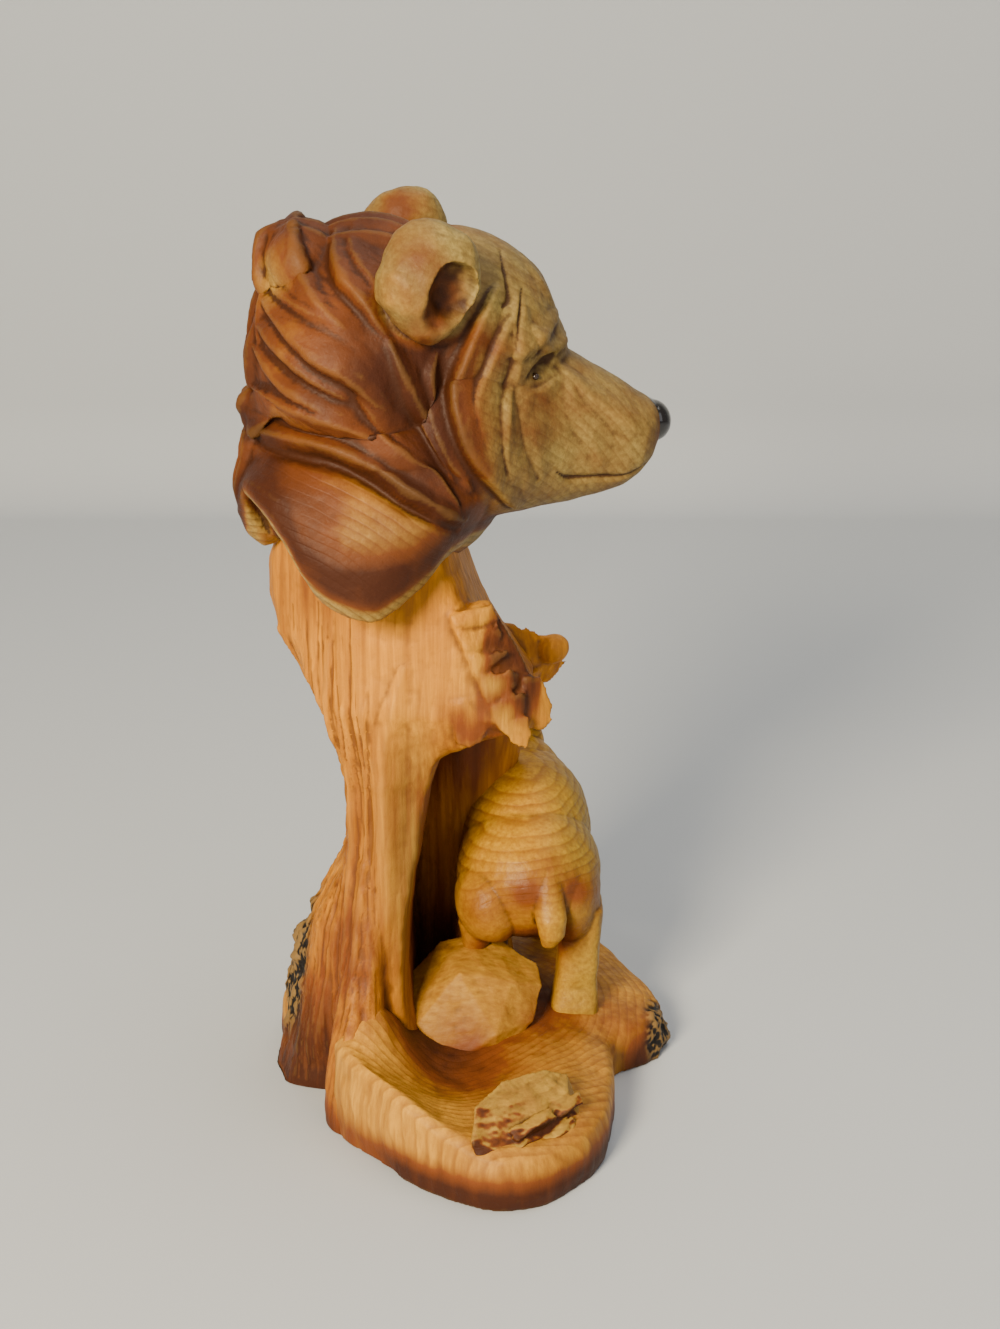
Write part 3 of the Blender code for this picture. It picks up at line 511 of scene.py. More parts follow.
def carvedWood(name, look):
    # Growth rings are the distance from the pith, bent by noise and taken modulo the ring gap: each ring
    # darkens slowly and ends sharply. Stain with painted shade, depth, paleness and bark come from the skin.
    material, tree, shader = newMaterial(name)
    calc, mix, ramp, noisy, scaled = (partial(make, tree) for make in
                                      (mathNode, mixNode, rampNode, noiseNode, scaledNode))
    times = partial(calc, "MULTIPLY")
    inMm = scaled(tree.nodes.new("ShaderNodeTexCoord").outputs["Object"], (1000, 1000, 1000))
    grain = tree.nodes.new("ShaderNodeSeparateXYZ")
    tree.links.new(attributeNode(tree, "grain").outputs["Vector"], grain.inputs[0])
    pithAway, ringStrength = grain.outputs[:2]
    carving = attributeNode(tree, "carving")
    split = tree.nodes.new("ShaderNodeSeparateColor")
    tree.links.new(carving.outputs["Color"], split.inputs[0])
    depth, stainAndShade, pale = split.outputs[:3]

    bend = noisy(inMm, look["bendScale"], 2)
    phase = calc("FRACT", calc("DIVIDE", calc("MULTIPLY_ADD", bend, look["bend"], pithAway), look["ringGap"]))
    ring = times(calc("POWER", phase, 2.2), ramp(phase, -7, 7))  # the late wood ends within a seventh
    ring = times(ring, ramp(noisy(inMm, 0.08, 2), 1.1, 0.35))  # and is faint in patches
    ring = times(ring, ringStrength)
    fibre = noisy(scaled(inMm, look["fibre"]), 1, 4, 0.6)
    mottle = noisy(scaled(inMm, look["streak"]), 1, 4, 0.55)
    speckle = noisy(inMm, 1.6, 3, 0.7)

    # bare wood, stain and painted shade in two steps, grooves darkened by a stain wash and painted shade,
    # crests lightened by rubbing and a painted highlight, dust, and bark over all
    lateTone = mix(pale, look["line"], look["paleLine"])
    tone = mix(times(ring, look["ringForce"]), mix(pale, look["light"], look["pale"]), lateTone)
    tone = mix(ramp(fibre, 1.6, -0.55), tone, lateTone)
    patch = calc("MULTIPLY_ADD", mottle, 0.9, -0.45)
    stainAndShadeLevel = calc("MULTIPLY_ADD", patch, look["patch"], stainAndShade, clamp=True)
    middle = mix(ramp(stainAndShadeLevel, 2, 0), tone, look["stainAndShade"])
    middle = mix(0.35, middle, tone, "MULTIPLY")
    tone = mix(ramp(stainAndShadeLevel, 2, -1), middle, look["deep"])
    # painted shade, with some stain wash, darkens the hollows of the carving
    tone = mix(times(ramp(depth, 2.4, -1.25), look["grooveForce"]), tone, look["groove"])
    # a painted highlight, with some rubbing, lightens the crests of the carving
    tone = mix(times(ramp(depth, -3.6, 0.85), look["crestForce"]), tone, look["crest"])
    tone = mix(times(ramp(speckle, 3, -1.75), look["dustForce"]), tone, look["groove"])
    crust = mix(ramp(depth, -3, 1.35), look["crustLow"], look["crustHigh"])
    tree.links.new(mix(carving.outputs["Alpha"], tone, crust), shader["Base Color"])

    tree.links.new(calc("MULTIPLY_ADD", fibre, 0.25, look["roughness"]), shader["Roughness"])
    shader["Specular IOR Level"].default_value = look["specular"]
    relief = calc("MULTIPLY_ADD", ring, -0.7, times(fibre, 0.8))
    bump = tree.nodes.new("ShaderNodeBump")
    bump.inputs["Strength"].default_value = look["bumpForce"]
    bump.inputs["Distance"].default_value = look["bumpHeight"]
    tree.links.new(calc("MULTIPLY_ADD", speckle, 0.5, relief), bump.inputs["Height"])
    tree.links.new(bump.outputs[0], shader["Normal"])
    return material


def plainMaterial(name, color, roughness, coat=0):
    material, _, shader = newMaterial(name)
    shader["Base Color"].default_value = (*color, 1)
    shader["Roughness"].default_value = roughness
    shader["Coat Weight"].default_value = coat
    return material


def finished(made, material):
    made.data.materials.clear()
    made.data.materials.append(material)
    made.data.polygons.foreach_set("use_smooth", np.ones(len(made.data.polygons), bool))
    made.data.update()
    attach(made, "root")
    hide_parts("statue")
    print(made.name, len(made.data.polygons), "faces")
    return made


def dressed(made, settings, stainAndShade, rings, pale):
    # Stores the paint, then gives the piece its own wood: the common look with the piece's changes.
    pith = fromPith(pointsOf(made.data), *settings["pith"])
    bark = barkOn(made, settings) if "bark" in settings else 0
    paint(made, np.clip(stainAndShade, 0, 1), pith, rings, pale, bark)
    return finished(made, carvedWood(settings["wood"], dict(wood, **settings["look"])))


# The hollow trunk

trunk = {
    "cell": 0.00068, "relax": 2, "ridges": 15, "ridgeDepth": 0.0013, "ridgeArc": (100, 248),
    # height, reach to the back, front, near and far side
    "sections": [
        (-2, 32, 9, 15, 42), (6, 30.5, 8, 15, 40), (14, 28.5, 5.5, 16.5, 37), (22, 29, 3, 18, 34),
        (32, 25.5, 2, 19.5, 31), (43, 19.5, 2.5, 20.5, 30), (55, 13, 4, 21.5, 29), (65, 11, 6, 22.5, 28.5),
        (80, 11.5, 8.5, 24, 28.5), (87, 13, 11, 25.5, 29), (92, 15, 19, 27, 30),
        (95.5, 16.5, 30, 28.5, 31), (100, 18.5, 32, 29, 31.5), (105, 21, 28.5, 29.5, 32),
        (115, 27, 22, 30, 31.5), (122, 29.5, 19, 29, 31), (131, 29, 16, 27, 29), (140, 26, 13, 25, 26)],
    # flat hewn faces: bearing and distance from the axis, on the trunk and on the hood
    "hewn": [
        ((284, 19.5), (262, 23.5)), ((236, 18.6), (228, 22.5)), ((198, 20), (198, 28)),
        ((140, 23), (140, 27))],
    # how much they stand out at the foot, up to what height, where and over how much they turn into those of
    # the hood, and how square the sections are below and above its foot
    "hewnSpread": 0.5, "spreadTop": 62, "hoodFrom": 78, "hoodOver": 22, "hoodFoot": 92,
    "squareness": (3.2, 4),
    # sharp edge between the grooved side and the smooth strip: (x, z)
    "edge": [
        (-13.5, 111), (-16.5, 100), (-18.3, 90), (-18.8, 76), (-20.3, 54), (-21.8, 38), (-24, 29)],
    # upright masses: height, middle (x, y), half sizes
    "root": [
        (-2, -23, -24, 10.5, 11), (8, -23.5, -24, 10, 10.5), (14, -24.4, -23.5, 7.8, 9.2),
        (20, -25.2, -21.6, 6.2, 7.8), (27, -24.6, -18.4, 5.3, 6.2), (35, -23.8, -16, 4.8, 5.2),
        (48, -22.8, -14.4, 4.4, 4.4), (62, -22, -13.4, 3.4, 3.6)],
    "farWall": [
        (4, -4, 34, 17, 13), (20, -3, 32, 14, 10), (40, -2, 30, 12, 8), (60, -1, 29, 12, 7.5),
        (80, 1, 28, 13, 8), (96, 3, 26, 15, 9)],
    # torn front of the hood: corners of its near face, then those of each leaf-shaped chip
    "tornFace": [
        (-2.8, -25, 123.6), (0.8, -25, 118.6), (4.1, -25, 110.6), (5.4, -25, 105.2), (8, -25, 97.7),
        (12.4, -24.3, 94.8), (5.9, -18, 126.6), (9.8, -18, 118.4), (13.7, -18, 113), (15.5, -18, 107),
        (17, -18, 100.7), (15, -18, 96.5), (-4, -14, 124), (4, -12, 97)],
    "tornLeaves": [
        [(-3.5, -24.6, 125), (-1.5, -25.7, 122.4), (6.5, -20.1, 126.2), (8.6, -19.8, 122.2),
         (1, -20.8, 119.6)],
        [(-2, -25.4, 120.4), (0.8, -25.9, 116.9), (9.2, -20.4, 120.7), (8, -21.1, 116.3), (2, -20.8, 115.6)],
        [(1.4, -25.6, 114.9), (3.4, -25.6, 110.9), (10.5, -22.2, 116.4), (9.5, -19.4, 111.8),
         (4, -20.8, 110.6)],
        [(4.1, -25.7, 110.5), (5.1, -25.7, 104.4), (10.6, -23.7, 112.4), (11, -23.6, 107.2),
         (13.5, -18.7, 108.4), (6, -20.1, 105.7)],
        [(6.3, -25.9, 103.4), (8, -25.7, 97.7), (13, -23.7, 107.2), (13.4, -23.3, 101.6),
         (15.5, -18.7, 102.9), (8, -20.1, 99.7)],
        [(8.3, -25.6, 98.9), (14.2, -23.9, 101.2), (15.6, -23.3, 95.8), (13.8, -24.2, 92.7),
         (10.6, -25.1, 94), (12, -19.4, 97.8)],
        [(13.5, -21.1, 109.5), (17.4, -18, 108.5), (20.2, -17, 101), (19.6, -18, 96.4),
         (16.4, -18.7, 95.1), (14.5, -20.4, 97.7), (12, -12, 102)],
        [(2, 20, 116), (6, 24, 114), (8, 22, 108), (4, 27, 107), (0, 27, 113), (-2, 20, 108)],
        [(5, 20, 109), (12, 24, 108), (13, 22, 102), (9, 28, 101), (4, 27, 107), (2, 20, 102)]],
    # lobe over the far side with its tip, and the lip at the near corner of the hollow
    "farLobe": [
        (9, 22, 108), (15, 24, 107), (21, 26, 103), (24.5, 28, 99), (25, 29, 96), (21, 29.5, 90),
        (16, 28, 91), (11, 26, 98), (13, 20, 100)],
    "farTip": ((21, 25, 101), (4, 3.6, 3.6)),
    "nearLip": [
        (-3, -24, 104), (0, -25, 104.5), (5, -24, 98), (4, -23.5, 94.5), (1.5, -23.5, 93),
        (-1.5, -23, 93.5), (-1, -17, 94), (-4, -17, 104), (4, -17, 99)],
    # fine ridges and cracks: degrees, metres
    "fine": {
        "count": 240, "seed": 3, "bearings": (85, 256), "tops": (0.035, 0.125), "drops": (0.02, 0.07),
        "sway": (0.02, 0.05), "halves": (0.0007, 0.0012), "heights": (0.0003, 0.0006), "crackDepth": -1.6},
    # bumps of the bark and all over by size and depth, and the lowest point, in metres
    "barkRough": (0.005, 0.0018), "rough": (0.007, 0.0003), "lowest": 0.0002,
    # stain all over and sprayed spots, with painted shade inside the hollow, then patches (middle, reach) of
    # bark, torn wood and the pale strip
    "stainAndShade": 0.12,
    "sprayed": [
        ((-38, -14, 12), 15, 0.70), ((-44, 2, 16), 14, 0.5), ((-31, -22, 40), 13, 0.42),
        ((-8, 0, 74), 15, 0.75), ((-6, -2, 50), 13, 0.5), ((-6, 15, 85), 18, 0.6), ((-9, 10, 20), 18, 0.7),
        ((0, 0, 95), 14, 0.7), ((-38, -16, 126), 8, 0.45), ((-10, -30, 127), 6, 0.25),
        ((-34, -14, 62), 12, 0.25), ((-14, -27, 108), 13, -0.2), ((3, -26, 96), 5, 0.5),
        ((-2, -25, 101), 5, 0.3)],
    # painted highlights on the lit leaf facets of the torn face
    "leafHighlights": [
        ((2.5, -24.5, 123), 3.4), ((2.4, -25.5, 115), 2.6), ((6.4, -25, 108.7), 3.2),
        ((8.6, -25, 101.5), 3.4), ((11, -25, 95.5), 3)],
    "bark": ((-43, 12, 26), (10, 19, 23), 0.25, 0.6), "torn": ((9, -19, 110), (8.5, 11, 16)),
    "strip": ((-12, -19, 62), (6.5, 8, 34)), "wood": "trunkWood", "pith": ((-40, -10, 0), (0.1, 0, 1)),
    "look": {
        "ringGap": 2.6, "bend": 5, "light": (0.74, 0.345, 0.008), "fibre": (0.75, 0.75, 0.035),
        "streak": (0.42, 0.42, 0.022), "patch": 0.85, "groove": (0.11, 0.034, 0.008), "grooveForce": 0.75,
        "bumpForce": 0.6},
}


def trunkMasses():
    # Squared-off ovals, cut by the flat hewn faces at distance / cos(t - facing).
    t = wholeTurn(180)
    cosine, sine = np.cos(t), np.sin(t)
    axisX, axisY = statue["trunkAxis"]
    rings = []
    for height, back, front, near, far in trunk["sections"]:
        power = trunk["squareness"][height >= trunk["hoodFoot"]]
        reachX, reachY = np.where(cosine > 0, front, back), np.where(sine > 0, far, near)
        radius = roundedReach(t, reachX, reachY, power)
        hood = min(max((height - trunk["hoodFrom"]) / trunk["hoodOver"], 0), 1)
        low = max(trunk["spreadTop"] - height, 0) / trunk["spreadTop"]
        for onTrunk, onHood in trunk["hewn"]:
            facing, distance = (a + (b - a) * hood for a, b in zip(onTrunk, onHood))
            flat = distance * (1 + trunk["hewnSpread"] * low ** 2)
            radius = np.minimum(radius, flat / np.maximum(np.cos(t - math.radians(facing)), 0.05))
        rings.append(np.column_stack([axisX + cosine * radius * mm, axisY + sine * radius * mm,
                                      np.full(len(t), height * mm)]))
    world = place(0, 0, 0)
    masses = [loft(rings), ball(*trunk["farTip"], world)]
    for part in ("farWall", "root"):
        masses.append(limb([(x, y, z, w, d) for z, x, y, w, d in trunk[part]], world, 40))
    blocks = [trunk["tornFace"], *trunk["tornLeaves"], trunk["farLobe"], trunk["nearLip"]]
    return masses + [rock(corners, world) for corners in blocks]


def trunkRidges(tree):
    # Long ridges down the grooved side, swaying a little, and the sharp edge of the smooth strip.
    axis, top, depth, count = statue["trunkAxis"], statue["trunkHeight"], trunk["ridgeDepth"], trunk["ridges"]
    first, last = trunk["ridgeArc"]
    strands = []
    for i in range(count):
        bearing = math.radians(first + (last - first) * i / (count - 1))
        heights = np.linspace(top * (0.93 - 0.12 * (i % 3)), 0.009, 20)
        line = inwardLine(tree, axis, bearing + 0.05 * np.sin(9 * heights / top + i), heights)
        width = depth * (2.3 + 0.5 * (i % 2))
        strands.append((line, width, width, depth))
    edge = skinLine(tree, [(x * mm, -0.03, z * mm) for x, z in trunk["edge"]], (0, 1, 0))
    return strands + [(edge, depth * 4.5, depth * 3, depth)]


def trunkGrain(tree):
    # Fine ridges and cracks in turn, at random places on the same side.
    fine = trunk["fine"]
    rng = random.Random(fine["seed"])
    strands = []
    for i in range(fine["count"]):
        bearing = math.radians(rng.uniform(*fine["bearings"]))
        high = rng.uniform(*fine["tops"])
        heights = np.linspace(high, max(0.002, high - rng.uniform(*fine["drops"])), 12)
        bearings = bearing + rng.uniform(*fine["sway"]) * np.sin(70 * heights + i)
        line = inwardLine(tree, statue["trunkAxis"], bearings, heights)
        if len(line) > 2:
            half, height = rng.uniform(*fine["halves"]), rng.uniform(*fine["heights"])
            strands.append((line, half, half, height * (1 if i % 2 else fine["crackDepth"])))
    return strands


def makeTrunk():
    made = fused("hollowTrunk", trunkMasses(), trunk)
    carve(made, trunkRidges(skinTree(made)))
    carve(made, trunkGrain(skinTree(made)))
    points = weathered(made, trunk)
    torn, strip = bell(points, *trunk["torn"]), bell(points, *trunk["strip"])
    foot = smoothStep(-points[:, 2] / mm, -9, 0)
    stainAndShade = np.clip(airbrush(points, trunk["stainAndShade"], trunk["sprayed"]) + 0.55 * foot, 0, 1)
    leafHighlight = sum(bell(points, *leaf) for leaf in trunk["leafHighlights"])
    # painted shade over the torn face, with painted highlights on its leaf facets
    stainAndShade += 0.75 * smoothStep(torn, 0.25, 0.6) - 0.85 * leafHighlight
    return dressed(made, trunk, stainAndShade, rings=0.6, pale=np.clip(torn * 0.8 + strip * 0.9, 0, 1))


# The ground

plinth = {
    "cell": 0.00060, "relax": 3, "thickness": 0.016,
    # reach of the edge by bearing in degrees from +X, and height of the rim in sixteenths of the thickness
    "edge": [
        (4, 48), (13, 51.5), (37, 54), (52, 58), (75, 61), (95, 61), (115, 58), (135, 55), (152, 52),
        (166, 49), (176, 43), (187, 35), (207, 36), (224, 43), (246, 49.5), (264, 58.5), (277, 65.5),
        (288, 64), (302, 57), (319, 46), (338, 38.5), (352, 37)],
    "rim": [
        (10, 10), (40, 12), (75, 15), (120, 15), (165, 16), (200, 21), (222, 22), (245, 21), (256, 19.5),
        (264, 16.5), (274, 13.5), (300, 12.5), (330, 12)],
    # dip of the bowl and rises beside the root and the knot: middle (x, y), radius, rise
    "swells": [(-4, -26, 15, -4.5), (-25, -21, 12, 17), (22, -38, 9, 2)],
    # the ground between rim and middle: shares of the reach, and its level in parts of the thickness
    "bevel": [(1, 0.25), (0.995, 0.6), (0.975, 0.9), (0.94, 1)],
    "shares": (0.89, 0.83, 0.76, 0.68, 0.58, 0.45, 0.3, 0.12), "floor": 0.9, "barkRough": (0.0045, 0.0018),
    "rough": (0.013, 0.0006), "lowest": 0.0001, "stainAndShade": 0.14,
    # stain sprayed on the ground, with painted shade round the boulder and the foot of the hollow
    "sprayed": [
        ((-5, -16, 14), 14, 0.55), ((-14, -10, 16), 14, 0.45), ((4, -30, 13), 12, 0.22),
        ((18, 0, 14), 13, 0.35), ((8, 20, 14), 22, 0.3), ((-22, -34, 18), 9, -0.35),
        ((-8, -48, 16), 10, -0.3), ((24, -44, 12), 10, 0.1), ((44, 0, 10), 10, 0.3)],
    "bark": ((50, 7, 6), (7, 11, 8), 0.2, 0.55), "wood": "plinthWood", "pith": ((-6, 4, 0), (0.1, 0.1, 1)),
    "look": {
        "ringGap": 2.2, "bend": 5, "ringForce": 0.95, "light": (0.78, 0.41, 0.030),
        "fibre": (0.6, 0.6, 0.09), "streak": (0.25, 0.25, 0.05)},
}


def plinthMasses():
    # Rings of the edge drawn in by shares. The ground falls from the rim to the floor as (share / 0.94)^5.
    t = wholeTurn(180)
    reach = around(plinth["edge"], t) * mm
    floor = plinth["thickness"] * plinth["floor"]
    rim = around(plinth["rim"], t) / 16 * plinth["thickness"]
    edge = np.stack([np.cos(t) * reach, np.sin(t) * reach], 1)
    rings = [np.column_stack([edge * 0.99, np.zeros(len(t))])]
    rings += [np.column_stack([edge * share, rim * height]) for share, height in plinth["bevel"]]
    inner = plinth["bevel"][-1][0]
    for share in plinth["shares"]:
        ground = edge * share
        slope = (share / inner) ** 5
        swell = sum(rise * mm * bell(ground, (x, y), radius) for x, y, radius, rise in plinth["swells"])
        rings.append(np.column_stack([ground, floor + (rim - floor) * slope + swell * (1 - slope)]))
    return [loft(rings)]


def makePlinth():
    made = fused("plinthGround", plinthMasses(), plinth)
    points = weathered(made, plinth)
    outside = smoothStep(np.hypot(points[:, 0] / 0.102, points[:, 1] / 0.127), 0.36, 0.44)
    foot = smoothStep(-points[:, 2] / mm, -10.5, -2) * outside
    stainAndShade = airbrush(points, plinth["stainAndShade"], plinth["sprayed"]) + foot
    return dressed(made, plinth, stainAndShade, rings=0.8, pale=0.25)


# The cub

cub = {
    "cell": 0.00045, "relax": 3, "at": (0.015, -0.004, 0), "rough": (0.008, 0.0004), "stainAndShade": 0.05,
    # stain and painted shade between the legs, round the tail and in the folds, then the nose and the eyes
    "sprayed": [
        ((15, -4, 49), 5, 0.55), ((27, -3, 49), 5, 0.55), ((21, -3, 57), 4, 0.30), ((4, -2, 45), 7, 0.35),
        ((12, 5, 33), 9, 0.75), ((22, 2, 36), 7, 0.50), ((31, 6, 44), 7, 0.35), ((10, 12, 30), 10, 0.6),
        ((27, 8, 14), 6, 0.35), ((4, 14, 34), 9, 0.5), ((9.5, 64, 65.5), 2.2, 1.6),
        ((13.6, 58.6, 70.6), 1.3, 1.6), ((6.4, 58.6, 70.6), 1.3, 1.6)],
    "wood": "cubWood", "pith": ((19, 0, 16), (0, 1, 0.1)),
    "look": {
        "ringGap": 1.7, "bend": 3, "light": (0.64, 0.37, 0.016), "line": (0.30, 0.11, 0.008),
        "ringForce": 1, "pale": (0.42, 0.31, 0.045), "patch": 0.25, "roughness": 0.30},
}


def cubMasses():
    by = place(*cub["at"])
    masses = [ball((0, 19, 47), (18, 20.5, 16.5), by), ball((-0.5, 32, 52.5), (16.5, 24, 18), by, (14, 0, 0)),
              ball((-3, 46, 58), (13, 13, 14), by), ball((-5, 55, 67), (9.5, 9.5, 9), by),
              ball((-5.5, 62.5, 64), (4.6, 5.5, 4.2), by), ball((10.5, 15, 43), (7.5, 13, 13), by),
              ball((-9.5, 10, 42.5), (8.5, 11.5, 10.5), by, (0, -12, 0))]
    for side in (-1, 1):  # ears and front legs
        masses.append(ball((-5 + side * 7, 53, 74.5), (3.4, 2.4, 3.2), by))
        masses.append(limb([(-2 + side * 5, 47, 58, 4, 5), (-2 + side * 7, 48, 49, 5.6, 6.2),
                            (-2 + side * 8.2, 49.6, 38, 5.2, 5.6), (-2 + side * 8.5, 50, 28, 5, 5.2),
                            (-2 + side * 9, 51, 8, 6, 7)], by))
    tail = [(4.6, -1.6, 35.5, 1.6, 1.4), (5.4, -2, 38.5, 3.2, 2.8), (5.2, -1.4, 43, 3.9, 3.4),
            (4.8, 1.5, 49, 3.6, 3.6), (4.5, 5, 54, 3, 4)]
    haunch = [(-13, 9.5, 27.5, 1.2, 1.4), (-13, 9.5, 31, 3.2, 3.4), (-12, 10, 37, 5.5, 6)]
    nearLeg = [(13, 14, 40, 5.4, 7), (12.5, 12, 30, 5.2, 5.6), (12, 11.5, 20, 5.2, 5.4),
               (11.5, 11, 15, 5.8, 6.4), (11.5, 11, 9, 5.8, 6.4)]
    farLeg = [(-11, 18, 38, 7, 7), (-11, 20, 24, 6, 6), (-11, 20, 8, 6, 6)]
    masses += [limb(stations, by) for stations in (tail, haunch, farLeg)]
    return masses + [limb(nearLeg, by, squareness=0.5)]


def makeCub():
    made = fused("cubBody", cubMasses(), cub)
    points = weathered(made, cub)
    rings = smoothStep(points[:, 2] / mm, 42, 52) * 0.9 + 0.1  # clear on the back, faint on the legs
    # painted shade: the olive pale tone on the +X side, away from the light
    pale = smoothStep(points[:, 0] / mm, 14, 30) * 0.7
    return dressed(made, cub, airbrush(points, cub["stainAndShade"], cub["sprayed"]), rings, pale)


# The boulder below the cub

boulder = {
    "cell": 0.0004, "relax": 1, "at": (0.002, -0.002, 0.008), "rough": (0.006, 0.0004),
    "corners": [
        (-16, -3, 13), (-15.5, 6, 16), (-9, 10, 22), (3, 11, 24.5), (15, 6, 18), (16.5, 1, 14.5),
        (14, -5, 8), (5, -12, 8), (-5, -13.5, 1), (-14, -9, 9), (-4, -5, 21), (9, -3, 18), (-14, 8, 0),
        (12, 10, 0), (6, -10, 0)],
    "stainAndShade": 0.12, "sprayed": [((0, -14, 12), 7, 0.35), ((-14, -8, 12), 6, 0.35), ((16, -4, 14), 6, 0.35)],
    "wood": "boulderWood", "pith": ((0, 30, 0), (0.3, 0, 1)),
    "look": {
        "ringGap": 4, "light": (0.62, 0.33, 0.020), "fibre": (0.3, 0.9, 0.9), "patch": 0.5},
}


def makeBoulder():
    made = fused("boulder", [rock(boulder["corners"], place(*boulder["at"]))], boulder)
    points = weathered(made, boulder)
    foot = smoothStep(-points[:, 2] / mm, -14, -9)
    stainAndShade = airbrush(points, boulder["stainAndShade"], boulder["sprayed"]) + 0.5 * foot
    return dressed(made, boulder, stainAndShade, rings=0.5, pale=0.35)


# The broken knot

knot = {
    "cell": 0.00035, "relax": 1, "at": (0.0135, -0.0490, 0.0085), "turn": 36, "rough": (0.004, 0.0004),
    "corners": [
        (-16, -5, 1), (-16.5, -3, 7), (-12, 2, 12), (-3, 5, 14), (8, 4.5, 13.5), (14, 3, 11), (15, -1, 5),
        (13, -5.5, 1), (0, -8, 0), (-10, -7.5, 3.5), (2, -6, 8), (10, -3, 9.5), (-14, 3, -4), (13, 5, -4),
        (0, -7, -5)],
    # splinters on its broken face: middle, half length
    "splinters": [
        ((-7, -7, 4.5), 6), ((3, -7.5, 4), 6.5), ((8, -5, 8), 5), ((-2, -6.5, 8), 6)],
    "brokenFace": (0.1, -0.75, -0.35), "wood": "knotWood", "pith": ((13, -49, 0), (0.8, 0.6, 0)),
    "look": {"ringGap": 1.6, "fibre": (0.25, 0.25, 1.4), "bumpForce": 0.7},
}


def knotMasses():
    by = place(*knot["at"]) @ turned("Z", knot["turn"])
    masses = [rock(knot["corners"], by)]
    for middle, size in knot["splinters"]:
        splinter = [(-size, -0.6, -1.6), (size, -0.4, -0.8), (size, 1.6, 1.4), (-size, 1.8, 0.8),
                    (0, -1.6, 0.4), (0, 1, -2.4)]
        masses.append(rock(splinter, by @ place(*middle, 1) @ turned("Y", -6)))
    return masses


def makeKnot():
    made = fused("brokenKnot", knotMasses(), knot)
    weathered(made, knot)
    facing = normalsOf(made.data) @ np.array(knot["brokenFace"])
    return dressed(made, knot, 0.08 + 0.9 * smoothStep(facing, 0.12, 0.42), rings=0.8, pale=0.7)


# The mother bear

